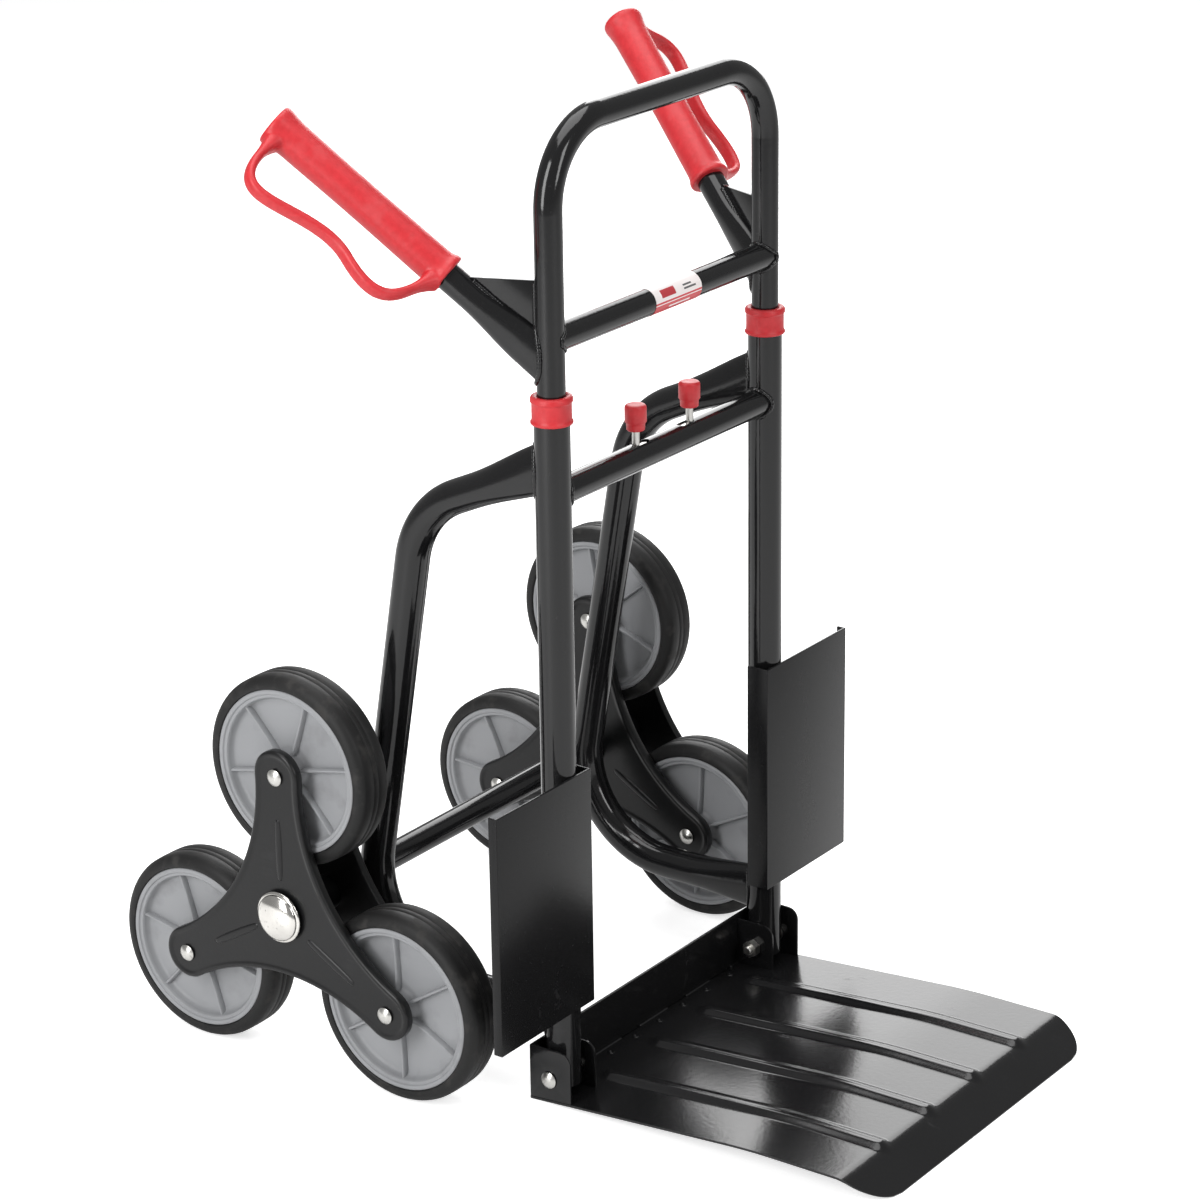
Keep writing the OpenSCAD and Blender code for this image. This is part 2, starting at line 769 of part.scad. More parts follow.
module star_hub() {
    reach = star_w / 2 + hub_proud;
    color(SATIN) at_star() difference() {
        along_x(star_hub_r, -reach, reach);
        along_x(axle_r + running, -reach - over, reach + over);
    }
}

module rivets() {
    reach = star_w / 2;
    color(ZINC) for (a = arms) at_wheel(a[0]) {
        along_x(rivet_r, -reach, reach);
        for (s = [-1, 1]) hand(s) translate([reach, 0, 0]) rotate([0, 90, 0]) dome(head_r, head_h);
    }
}

module sleeves() {
    reach = star_w / 2 - star_t;
    color(ZINC) for (a = arms) at_wheel(a[0]) difference() {
        along_x(sleeve_r, -reach, reach);
        along_x(rivet_r, -reach - over, reach + over);
    }
}

module tyre() {
    flat = tyre_w / 2 - shoulder_r;
    rotate([0, 90, 0]) rotate_extrude() difference() {
        union() {
            translate([rim_r, -tyre_w / 2]) square([tyre_t - shoulder_r, tyre_w]);
            translate([rim_r, -flat]) square([tyre_t, 2 * flat]);
            for (s = [-1, 1]) translate([wheel_r - shoulder_r, s * flat]) circle(r = shoulder_r);
        }
        translate([rim_r - over, -tyre_w]) square([over, 2 * tyre_w]);
    }
}

module wheel() {
    rib_in = boss_r - 2;
    rib_out = rim_r - rim_t + 1;
    difference() {
        union() {
            rotate([0, 90, 0]) rotate_extrude() {
                translate([rim_r - rim_t, -rim_half]) square([rim_t, 2 * rim_half]);
                translate([0, -web_half]) square([rim_r - rim_t / 2, 2 * web_half]);
                translate([0, -boss_half]) square([boss_r, 2 * boss_half]);
            }
            for (i = [0 : rib_count - 1]) rotate([360 / rib_count * i, 0, 0])
                translate([-rib_half, -rib_t / 2, rib_in]) cube([2 * rib_half, rib_t, rib_out - rib_in]);
        }
        along_x(sleeve_r + running, -boss_half - over, boss_half + over);
    }
}

// ---- Drawing ----

module one(name) {
    if (name == "upright") upright();
    if (name == "rear_tube") rear_tube();
    if (name == "side_plate") side_plate();
    if (name == "collar") collar();
    if (name == "inner_ear") inner_ear();
    if (name == "stub") stub();
    if (name == "gusset") gusset();
    if (name == "grip") grip();
    if (name == "lock_pin") lock_pin();
    if (name == "lock_knob") lock_knob();
    if (name == "lock_spring") lock_spring();
    if (name == "star_outer") star_outer();
    if (name == "star_inner") star_inner();
    if (name == "star_hub") star_hub();
    if (name == "rivets") rivets();
    if (name == "sleeves") sleeves();
}

module drawn(name) { place() children(); }

drawn("lower_crossbar") lower_crossbar();
drawn("crossbar_stop") crossbar_stop();
drawn("axle_tube") axle_tube();
drawn("axle_rod") axle_rod();
drawn("axle_caps") axle_caps();
drawn("upright_feet") upright_feet();
drawn("hinge_bolts") hinge_bolts();
drawn("hinge_spacers") hinge_spacers();
drawn("hinge_nuts") hinge_nuts();
drawn("handle_loop") handle_loop();
drawn("upper_crossbar") upper_crossbar();
drawn("label") label();
drawn("leg_glides") leg_glides();
drawn("toe_deck") toe_deck();
drawn("toe_upstand") toe_upstand();
for (s = sides) {
    for (p = PLAIN) drawn(str(s[1], "_", p)) hand(s[0]) one(p);
    for (a = arms) {
        drawn(str(s[1], "_", a[1], "_tyre")) hand(s[0]) at_wheel(a[0]) color(RUBBER) tyre();
        drawn(str(s[1], "_", a[1], "_wheel")) hand(s[0]) at_wheel(a[0]) color(GREY) wheel();
    }
}
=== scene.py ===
import json
import math

import bmesh
import bpy
import numpy as np
from mathutils import Matrix, Vector


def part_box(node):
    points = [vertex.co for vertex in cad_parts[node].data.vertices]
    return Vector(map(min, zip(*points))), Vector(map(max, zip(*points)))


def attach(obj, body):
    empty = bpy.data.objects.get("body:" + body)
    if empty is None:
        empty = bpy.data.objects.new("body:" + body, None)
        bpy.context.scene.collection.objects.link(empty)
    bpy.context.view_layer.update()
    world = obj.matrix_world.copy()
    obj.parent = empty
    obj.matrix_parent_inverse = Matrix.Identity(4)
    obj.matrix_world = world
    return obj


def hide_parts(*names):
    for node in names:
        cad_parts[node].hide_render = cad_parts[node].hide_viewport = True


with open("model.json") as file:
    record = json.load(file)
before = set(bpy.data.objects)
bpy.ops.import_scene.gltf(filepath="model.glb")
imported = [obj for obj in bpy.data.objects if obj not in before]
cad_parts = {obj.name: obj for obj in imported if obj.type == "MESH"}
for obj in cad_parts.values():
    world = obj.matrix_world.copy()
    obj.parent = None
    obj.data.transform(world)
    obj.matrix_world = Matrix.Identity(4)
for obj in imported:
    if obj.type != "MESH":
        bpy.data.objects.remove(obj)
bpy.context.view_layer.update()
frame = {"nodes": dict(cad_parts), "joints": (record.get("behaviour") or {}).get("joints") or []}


# ---- The room ----
# A pale studio floor that runs out of sight and glows a little to the eye, soft boxes round the
# truck and one above it, and a long lens standing a few steps away, a little above the handle.

def box_lamp(name, place, aim, width, height, watts):
    """A soft box of the given size at a place, turned to face another."""
    lamp = bpy.data.lights.new(name, "AREA")
    lamp.shape, lamp.size, lamp.size_y, lamp.energy = "RECTANGLE", width, height, watts
    stand = bpy.data.objects.new(name, lamp)
    bpy.context.scene.collection.objects.link(stand)
    stand.location = place
    stand.rotation_euler = (Vector(aim) - Vector(place)).to_track_quat("-Z", "Y").to_euler()


box_lamp("left_soft_box", (-2.5, 0.3, 1.5), (0, 0, 0.4), 0.9, 2.4, 60)
box_lamp("front_soft_box", (-0.4, -3.0, 1.9), (0, 0, 0.4), 0.8, 2.0, 34)
box_lamp("right_soft_box", (2.6, 1.3, 1.6), (0, 0, 0.4), 1.6, 2.2, 46)
box_lamp("top_soft_box", (0.1, 0.2, 3.0), (0, 0, 0.3), 2.2, 2.2, 55)

sky = bpy.data.worlds.new("room")
sky.use_nodes = True
sky.node_tree.nodes["Background"].inputs["Color"].default_value = (1, 1, 1, 1)
sky.node_tree.nodes["Background"].inputs["Strength"].default_value = 0.34
bpy.context.scene.world = sky
bpy.context.scene.view_settings.view_transform = "Standard"

LENS, SENSOR = 112.97, 36.0
AZIMUTH, ELEVATION, ROLL = math.radians(-54.11), math.radians(20.15), math.radians(-0.877)
AIM, DISTANCE = Vector((-0.0866, -0.0416, 0.4043)), 2.9319

back = Vector((math.sin(AZIMUTH) * math.cos(ELEVATION),
               -math.cos(AZIMUTH) * math.cos(ELEVATION), math.sin(ELEVATION)))
level = Vector((math.cos(AZIMUTH), math.sin(AZIMUTH), 0))
across = math.cos(ROLL) * level + math.sin(ROLL) * back.cross(level)
upward = back.cross(across)
camera = bpy.data.cameras.new("camera")
camera.lens, camera.sensor_width = LENS, SENSOR
camera.clip_start, camera.clip_end = 0.05, 100
tripod = bpy.data.objects.new("camera", camera)
bpy.context.scene.collection.objects.link(tripod)
tripod.matrix_world = Matrix.Translation(AIM + back * DISTANCE) @ Matrix(
    (across, upward, back)).transposed().to_4x4()
bpy.context.scene.camera = tripod


# ---- Tools for finishes, first used on the floor ----
# A finish is written as sums on sockets: each operator adds its Math node.

class Value:
    """A socket of a node tree that takes part in written sums."""

    def __init__(self, tree, socket):
        self.tree, self.socket = tree, socket

    def sum(self, operation, *terms, clamp=False):
        return self.tree.node("ShaderNodeMath", {"operation": operation, "use_clamp": clamp},
                              dict(enumerate(terms)))

    def __add__(self, other): return self.sum("ADD", self, other)
    def __radd__(self, other): return self.sum("ADD", other, self)
    def __sub__(self, other): return self.sum("SUBTRACT", self, other)
    def __rsub__(self, other): return self.sum("SUBTRACT", other, self)
    def __mul__(self, other): return self.sum("MULTIPLY", self, other)
    def __rmul__(self, other): return self.sum("MULTIPLY", other, self)
    def __truediv__(self, other): return self.sum("DIVIDE", self, other)
    def __rtruediv__(self, other): return self.sum("DIVIDE", other, self)
    def __pow__(self, other): return self.sum("POWER", self, other)
    def __gt__(self, other): return self.sum("GREATER_THAN", self, other)
    def __lt__(self, other): return self.sum("LESS_THAN", self, other)
    def __abs__(self): return self.sum("ABSOLUTE", self)
    def clip(self): return self.sum("ADD", self, 0.0, clamp=True)

    def between(self, low, high):
        """1 inside a band, 0 outside it."""
        return (self > low) * (self < high)


class Nodes:
    """A node tree and the one way to add to it."""

    def node(self, kind, settings=None, values=None, out=0):
        n = self.tree.nodes.new(kind)
        for key, setting in (settings or {}).items():
            if key == "stops":
                ramp = n.color_ramp
                while len(ramp.elements) < len(setting):
                    ramp.elements.new(1)
                for e, (place, shade) in zip(ramp.elements, setting):
                    e.position, e.color = place, (*shade, 1)
            else:
                setattr(n, key, setting)
        for key, value in (values or {}).items():
            if isinstance(value, Value):
                self.tree.links.new(value.socket, n.inputs[key])
            elif value is not None:
                n.inputs[key].default_value = value
        return Value(self, n.outputs[out])


class Finish(Nodes):
    """A material of one Principled surface, with patterns on the object's own coordinates."""

    def __init__(self, name, **fixed):
        self.material = bpy.data.materials.new(name)
        self.material.use_nodes = True
        self.tree = self.material.node_tree
        self.surface = self.tree.nodes["Principled BSDF"]
        self.places = self.node("ShaderNodeTexCoord", out="Object")
        for key, value in fixed.items():
            self.surface.inputs[key.replace("_", " ").title().replace("Ior", "IOR")].default_value = value

    def feed(self, socket, value):
        self.tree.links.new(value.socket, self.surface.inputs[socket])

    def noise(self, scale, detail=2.0, stretch=(1, 1, 1), turn=(0, 0, 0)):
        """Noise from about 0.3 to 0.7, scale being its cells in a metre."""
        spot = self.node("ShaderNodeMapping", None, {"Vector": self.places, "Scale": stretch, "Rotation": turn})
        return self.node("ShaderNodeTexNoise", None,
                         {"Vector": spot, "Scale": scale, "Detail": detail})

    def blend(self, low, high, share):
        """One colour turning into another as share goes from 0 to 1."""
        shade = [s if isinstance(s, Value) else (*s, 1) for s in (low, high)]
        return self.node("ShaderNodeMix", {"data_type": "RGBA"}, {0: share, 6: shade[0], 7: shade[1]}, out=2)

    def axis(self, n):
        """One of the object's own coordinates, in metres."""
        return self.node("ShaderNodeSeparateXYZ", None, {0: self.places}, out=n)

    def bump(self, height, depth, strength=1.0, onto=None):
        values = {"Height": height, "Distance": depth, "Strength": strength}
        if onto:
            values["Normal"] = onto
        return self.node("ShaderNodeBump", None, values)


floor_coat = Finish("studio_floor", roughness=0.55, specular_ior_level=0.25, emission_strength=0.62)
floor_coat.feed("Base Color", floor_coat.blend((0.86, 0.86, 0.86), (0.90, 0.90, 0.90),
                                               floor_coat.noise(1.5, 3)))
seen = floor_coat.node("ShaderNodeLightPath", out="Is Camera Ray")
floor_coat.feed("Emission Color", floor_coat.blend((0.10, 0.10, 0.10), (1, 1, 1), seen))
floor_mesh = bpy.data.meshes.new("floor")
floor_mesh.from_pydata([(-20, -20, 0), (20, -20, 0), (20, 20, 0), (-20, 20, 0)], [], [(0, 1, 2, 3)])
floor_mesh.materials.append(floor_coat.material)
floor = bpy.data.objects.new("floor", floor_mesh)
bpy.context.scene.collection.objects.link(floor)


# ---- The two uprights and the lower crossbar ----
# Steel tube of 28 mm and a crossbar of 22 mm between them, welded and then powder coated in
# gloss black with its faint orange-peel, a little dust and fine rubbing.

joints = {j["name"]: j for j in frame["joints"]}
HINGE = Vector(joints["toe_fold"]["pos_m"])
STAR = Vector(joints["right_star_turn"]["pos_m"])
UPRIGHT_X, UPRIGHT_Y, UPRIGHT_R = 0.146, HINGE.y, 0.014
LOWER_BAR_Z, BAR_R = 0.5075, 0.011
SIDES = (("left", -1), ("right", 1))


def black_coat(name, rough, peel, scuffs, speck=0.5, shine=0.5):
    """Black powder coat: peel is the depth of its orange-peel in metres."""
    coat = Finish(name, ior=1.5, coat_weight=0.0, specular_ior_level=shine)
    cloud = coat.noise(9, 4)
    fine = coat.noise(420, 3)
    rubbed = coat.noise(26, 8, (1, 1, 0.25))
    marks = coat.noise(190, 2, (1, 0.06, 1), (0.3, 0.5, 0.2))
    worn = ((rubbed - 0.60) * 9).clip() * ((marks - 0.56) * 12).clip()
    dust = ((fine - 0.70) * 14).clip() * speck
    black = coat.blend((0.0045, 0.0045, 0.0048), (0.0085, 0.0085, 0.009), cloud)
    coat.feed("Base Color", coat.blend(black, (0.06, 0.06, 0.062), dust * 0.4 + worn * scuffs * 0.25))
    coat.feed("Roughness", rough + cloud * 0.04 + worn * scuffs * 0.16 + dust * 0.15)
    wave = coat.noise(240, 2)
    coat.feed("Normal", coat.bump(wave + fine * 0.3, peel))
    return coat


gloss = black_coat("gloss_black_powder_coat", rough=0.10, peel=0.00005, scuffs=0.5, shine=0.42)


def ride_on(piece, body, slot, *hides):
    """Hangs a piece on its body and hides what it stands for."""
    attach(piece, body)
    if hides:
        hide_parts(*hides)
    return piece


def finished(mesh, name, coat, crease=35):
    """A linked object for a mesh, smooth but for its creases."""
    mesh.materials.clear()
    mesh.materials.append(coat.material)
    mesh.shade_smooth()
    mesh.set_sharp_from_angle(angle=math.radians(crease))
    piece = bpy.data.objects.new(name, mesh)
    bpy.context.scene.collection.objects.link(piece)
    return piece


def mesh_from(points, faces, name):
    """A mesh with doubles merged and its faces turned outwards."""
    work = bmesh.new()
    corners = [work.verts.new(p) for p in points]
    for f in faces:
        ring = [corners[i] for i in f]
        if len(set(f)) > 2 and not work.faces.get(ring):
            work.faces.new(ring)
    bmesh.ops.remove_doubles(work, verts=work.verts, dist=1e-6)
    bmesh.ops.recalc_face_normals(work, faces=work.faces)
    mesh = bpy.data.meshes.new(name)
    work.to_mesh(mesh)
    work.free()
    return mesh


def loft(rings, name, closed=False, caps=True):
    """A skin over rings of equal count; closed joins the last ring to the first."""
    n, count = len(rings[0]), len(rings)
    points = [p for ring in rings for p in ring]
    spans = count if closed else count - 1
    faces = [(i * n + k, i * n + (k + 1) % n, (i + 1) % count * n + (k + 1) % n, (i + 1) % count * n + k)
             for i in range(spans) for k in range(n)]
    if caps and not closed:
        faces += [tuple(range(n)), tuple(range((count - 1) * n, count * n))]
    return mesh_from(points, faces, name)


def mirrored(mesh, name):
    """The same mesh on the other side of the truck, with its faces still outwards."""
    other = mesh.copy()
    other.name = name
    other.transform(Matrix.Diagonal((-1, 1, 1, 1)))
    other.flip_normals()
    return other


def both_sides(mesh, part, coat, body, slot, crease=35):
    """Places the right-hand mesh and its mirror image for one part of each side."""
    for side, hand in SIDES:
        shape = mesh.copy() if hand > 0 else mirrored(mesh, part)
        ride_on(finished(shape, f"{side}_{part}_piece", coat, crease), body.format(side=side), slot,
                f"{side}_{part}")


class Recipe(Nodes):
    """A Geometry Nodes tree with named inputs that turns an object into a piece."""

    def __init__(self, name, **sizes):
        self.tree = bpy.data.node_groups.new(name, "GeometryNodeTree")
        self.tree.interface.new_socket("Shape", in_out="INPUT", socket_type="NodeSocketGeometry")
        self.tree.interface.new_socket("Shape", in_out="OUTPUT", socket_type="NodeSocketGeometry")
        self.keys = {}
        for key, size in sizes.items():
            kind = "NodeSocketInt" if isinstance(size, int) else "NodeSocketFloat"
            socket = self.tree.interface.new_socket(key, in_out="INPUT", socket_type=kind)
            socket.default_value = size
            self.keys[key] = socket.identifier
        self.inputs = self.tree.nodes.new("NodeGroupInput")
        self.shape = Value(self, self.inputs.outputs["Shape"])

    def size(self, key):
        return Value(self, self.inputs.outputs[key])

    def serve(self, shape, coat):
        """Ends the tree: everything real, in one finish."""
        shape = self.node("GeometryNodeRealizeInstances", None, {0: shape})
        shape = self.node("GeometryNodeSetMaterial", None, {"Geometry": shape, "Material": coat.material})
        end = self.tree.nodes.new("NodeGroupOutput")
        self.tree.links.new(shape.socket, end.inputs[0])

    def make(self, mesh, name, coat, crease=35, **sizes):
        """Runs the tree on a mesh and keeps the result as a plain piece."""
        seed = bpy.data.objects.new(name + "_seed", mesh)
        bpy.context.scene.collection.objects.link(seed)
        step = seed.modifiers.new("recipe", "NODES")
        step.node_group = self.tree
        for key, size in sizes.items():
            step[self.keys[key]] = size
        graph = bpy.context.evaluated_depsgraph_get()
        made = bpy.data.meshes.new_from_object(seed.evaluated_get(graph), depsgraph=graph)
        bpy.data.objects.remove(seed)
        return finished(made, name, coat, crease)


# A weld bead: a rippled half-round laid along its seam, each ripple one dab of the torch.
bead = Recipe("weld_bead", Radius=0.0022, Pitch=0.0026, Ripple=0.22, Wander=0.25)
seam = bead.node("GeometryNodeMeshToCurve", None, {0: bead.shape})
seam = bead.node("GeometryNodeResampleCurve", {"mode": "LENGTH"}, {"Curve": seam, "Length": 0.0008})
along = bead.node("GeometryNodeSplineParameter", out="Length")
dab = bead.node("ShaderNodeMath", {"operation": "FRACT"}, {0: along / bead.size("Pitch")})
lump = bead.node("ShaderNodeTexNoise", None, {"Scale": 260.0, "Detail": 2.0})
swell = 1 - bead.size("Ripple") * dab * dab + (lump - 0.5) * bead.size("Wander")
seam = bead.node("GeometryNodeSetCurveRadius", None, {0: seam, "Radius": swell * bead.size("Radius")})
dab_ring = bead.node("GeometryNodeCurvePrimitiveCircle", {"mode": "RADIUS"}, {"Resolution": 10, "Radius": 1.0})
radius = bead.node("GeometryNodeInputRadius")
bead.serve(bead.node("GeometryNodeCurveToMesh", None,
                     {"Curve": seam, "Profile Curve": dab_ring, "Scale": radius, "Fill Caps": True}), gloss)


def welds(name, body, seams, radius=0.0022):
    """One piece of weld beads on a body, from lists of points; a seam of one loop ends on its start."""
    lines, places, edges = seams, [], []
    for line in lines:
        first = len(places)
        ring = (Vector(line[0]) - Vector(line[-1])).length < 1e-6
        line = line[:-1] if ring else line
        places += line
        edges += [(first + i, first + (i + 1) % len(line)) for i in range(len(line) if ring else len(line) - 1)]
    mesh = bpy.data.meshes.new("seams")
    mesh.from_pydata(places, edges, [])
    piece = bead.make(mesh, name, gloss, 180, Radius=radius)
    return ride_on(piece, body, "gloss_black")


def flip(line, hand):
    return [(hand * p[0], p[1], p[2]) for p in line]


def saddle(bar_r, post_r, height, steps=48):
    """Where a bar along X ends on the inner side of the right-hand post."""
    return [(UPRIGHT_X - math.sqrt(max(post_r ** 2 - (bar_r * math.cos(a)) ** 2, 0)),
             UPRIGHT_Y + bar_r * math.cos(a), height + bar_r * math.sin(a))
            for a in np.linspace(0, 2 * math.pi, steps + 1)]


def coated(coat, slot, *nodes):
    """Gives CAD nodes whose shape is right their finish."""
    for n in nodes:
        mesh = frame["nodes"][n].data
        mesh.materials.clear()
        mesh.materials.append(coat.material)


coated(gloss, "gloss_black", "left_upright", "right_upright", "lower_crossbar")
black_plastic = black_coat("black_moulded_plastic", rough=0.45, peel=0.00004, scuffs=0.2, speck=0.2,
                           shine=0.25)
coated(black_plastic, "black_plastic", "upright_feet", "crossbar_stop", "leg_glides")
lower_seam = saddle(BAR_R + 0.0008, UPRIGHT_R, LOWER_BAR_Z)
welds("crossbar_welds", "frame", [flip(lower_seam, hand) for side, hand in SIDES])


# ---- The bent rear tubes and the axle tube ----
# The same 28 mm tube in one piece on each side: pressed flat at both ends, bent twice, and
# welded to the upright above and below and to the axle tube where it leans on it.

REAR_LOW_Z, REAR_TOP_Z = 0.070, 0.531
LOW_BEND, TOP_BEND, SLOPE, LEAN = 0.085, 0.080, math.radians(24.2), math.radians(10)
END_TALL, AXLE_TUBE_R, WELD_BITE = 0.020, 0.011, 0.0008


def aim(a):
    return np.array([math.cos(a), math.sin(a)])


def tube_line():
    """Points and headings of the right rear tube's centre line, back from the upright and up."""
    heading = math.pi / 2 - LEAN
    star = np.array([STAR.y - UPRIGHT_Y, STAR.z])
    centre_z = REAR_LOW_Z + LOW_BEND
    reach = LOW_BEND + UPRIGHT_R + AXLE_TUBE_R - WELD_BITE
    low = np.array([star[0] - math.sqrt(reach ** 2 - (star[1] - centre_z) ** 2), centre_z])
    corner = low + [LOW_BEND * math.tan((math.pi - heading) / 2), -LOW_BEND]
    top = np.array([0, REAR_TOP_Z])
    run, rise = aim(-SLOPE), aim(-heading)
    cross = run[0] * rise[1] - run[1] * rise[0]
    step = ((corner - top)[0] * rise[1] - (corner - top)[1] * rise[0]) / cross
    bend_end = top + run * step - TOP_BEND * math.tan((heading - SLOPE) / 2) * run
    high = bend_end + TOP_BEND * aim(-SLOPE - math.pi / 2)
    line = [(np.array([t, REAR_LOW_Z]), 0.0) for t in np.linspace(0, low[0], 24, endpoint=False)]
    line += [(low + LOW_BEND * aim(a), a + math.pi / 2)
             for a in np.linspace(-math.pi / 2, math.pi / 2 - heading, 24)]
    end, start = line[-1][0], high + TOP_BEND * aim(math.pi / 2 - heading)
    line += [(end + (start - end) * t, math.pi - heading) for t in np.linspace(0, 1, 20)[1:-1]]
    line += [(high + TOP_BEND * aim(a), a + math.pi / 2)
             for a in np.linspace(math.pi / 2 - heading, math.pi / 2 - SLOPE, 20)]
    line += [(bend_end + (top - bend_end) * t, math.pi - SLOPE) for t in np.linspace(0, 1, 28)[1:]]
    return line


def rear_rings():
    """Rings along the rear tube; both ends stand taller and end on the upright."""
    line, rings = tube_line(), []
    for i, (p, heading) in enumerate(line):
        ahead, side = aim(heading), aim(heading + math.pi / 2)
        run = min(p[0], 0.075) / 0.075
        flat = 1 - run * run * (3 - 2 * run)
        up_r = UPRIGHT_R + (END_TALL - UPRIGHT_R) * flat
        wide = UPRIGHT_R + (UPRIGHT_R ** 2 / END_TALL - UPRIGHT_R) * flat
        ring = []
        for a in np.linspace(0, 2 * math.pi, 40, endpoint=False):
            x, q = wide * math.cos(a), p + side * up_r * math.sin(a)
            if i in (0, len(line) - 1):
                q = q + ahead * ((math.sqrt(UPRIGHT_R ** 2 - x ** 2) - 0.0006 - q[0]) / ahead[0])
            ring.append((UPRIGHT_X + x, UPRIGHT_Y + q[0], q[1]))
        rings.append(ring)
    clear = UPRIGHT_Y + UPRIGHT_R * 0.9
    return [rings[0]] + [r for r in rings[1:-1] if min(p[1] for p in r) > clear] + [rings[-1]]


tube_rings = rear_rings()
both_sides(loft(tube_rings, "rear_tube"), "rear_tube", gloss, "frame", "gloss_black", 60)
coated(gloss, "gloss_black", "axle_tube")


def swollen(ring, by):
    """A ring a little larger about its own middle, closed on its start."""
    mid = sum((Vector(p) for p in ring), Vector()) / len(ring)
    line = [tuple(Vector(p) + (Vector(p) - mid).normalized() * by) for p in ring]
    return line + line[:1]


tube_seams = [swollen(tube_rings[0], 0.0006), swollen(tube_rings[-1], 0.0006)]
nip = [(UPRIGHT_X + x, STAR.y - AXLE_TUBE_R * 0.86, STAR.z - 0.009 + 0.35 * abs(x))
       for x in np.linspace(-0.0085, 0.0085, 12)]
nip_high = [(p[0], STAR.y - AXLE_TUBE_R * 0.93, 2 * STAR.z - p[2] + 0.004) for p in nip]
welds("rear_tube_welds", "frame",
      [flip(line, hand) for side, hand in SIDES for line in tube_seams + [nip, nip_high]], 0.0024)


# ---- The two side plates ----
# Sheet steel of 2 mm with a narrow turned edge outside and a wider one against the upright,
# stitched to the tube with a few short welds and coated with the frame.

def softened(node, width, steps=2, angle=40):
    """A copy of a CAD node with its loose faces merged and its edges eased."""
    work = bmesh.new()
    work.from_mesh(frame["nodes"][node].data)
    bmesh.ops.remove_doubles(work, verts=work.verts, dist=2e-6)
    bmesh.ops.dissolve_limit(work, angle_limit=math.radians(1), verts=work.verts, edges=work.edges)
    edges = [e for e in work.edges if len(e.link_faces) == 2
             and e.calc_face_angle(0) > math.radians(angle)]
    bmesh.ops.bevel(work, geom=edges, offset=width, segments=steps, profile=0.6, affect="EDGES",
                    clamp_overlap=True)
    mesh = bpy.data.meshes.new(node + "_soft")
    work.to_mesh(mesh)
    work.free()
    return mesh


def trimmed(node, body, coat, edge):
    """A CAD node with its edges broken by edge metres, as a piece of its own."""
    ride_on(finished(softened(node, edge), f"{node}_piece", coat), body, "gloss_black", node)


plate_coat = black_coat("side_plate_powder_coat", rough=0.24, peel=0.00004, scuffs=0.9, shine=0.22)
for side, hand in SIDES:
    trimmed(f"{side}_side_plate", "frame", plate_coat, 0.0006)


# ---- The toe plate ----
# One pressed sheet of 2 mm: a deck with four long ribs, a short ramp at the front with round
# corners, and an upstand behind with an ear at each end, turned on two zinc-plated bolts.

DECK_W, DECK_FRONT, SHEET = 0.334, UPRIGHT_Y - 0.308, 0.002
DECK_BACK, DECK_LEVEL = UPRIGHT_Y + UPRIGHT_R + 0.005, UPRIGHT_Y - 0.190
RAMP, RAMP_RISE, CORNER = 0.033, 0.0155, 0.035
CREASE_Y = DECK_FRONT + RAMP
RIBS, RIB_BACK, RIB_FRONT = (-0.105, -0.035, 0.035, 0.105), UPRIGHT_Y - 0.018, UPRIGHT_Y - 0.268
RIB_H, RIB_W = 0.0034, 0.0170


def soft_min(a, b, fold):
    """The lower of two heights, rounded where they meet."""
    share = min(max(0.5 + (b - a) / (2 * fold), 0), 1)
    return b + (a - b) * share - fold * share * (1 - share)


def smooth_step(t):
    t = min(max(t, 0.0), 1.0)
    return t * t * (3 - 2 * t)


def deck_top(x, y):
    """Height of the deck's top face, ribs and the soft fold at the ramp included."""
    rising = SHEET + (DECK_BACK - y) / (DECK_BACK - DECK_LEVEL) * RAMP_RISE
    ramp = SHEET / 2 + (y - DECK_FRONT) / RAMP * (RAMP_RISE + SHEET / 2)
    z = soft_min(soft_min(rising, SHEET + RAMP_RISE, 0.0016), ramp, 0.0030)
    rib = 0
    for rx in RIBS:
        over = max(0.0, y - RIB_BACK, RIB_FRONT - y)
        d = math.hypot(x - rx, over * 0.8)
        crest, dip = smooth_step(1.12 - d / (RIB_W * 0.58)), smooth_step(1 - d / (RIB_W * 0.22))
        rib = max(rib, RIB_H * crest - 0.0004 * dip)
    return z + rib


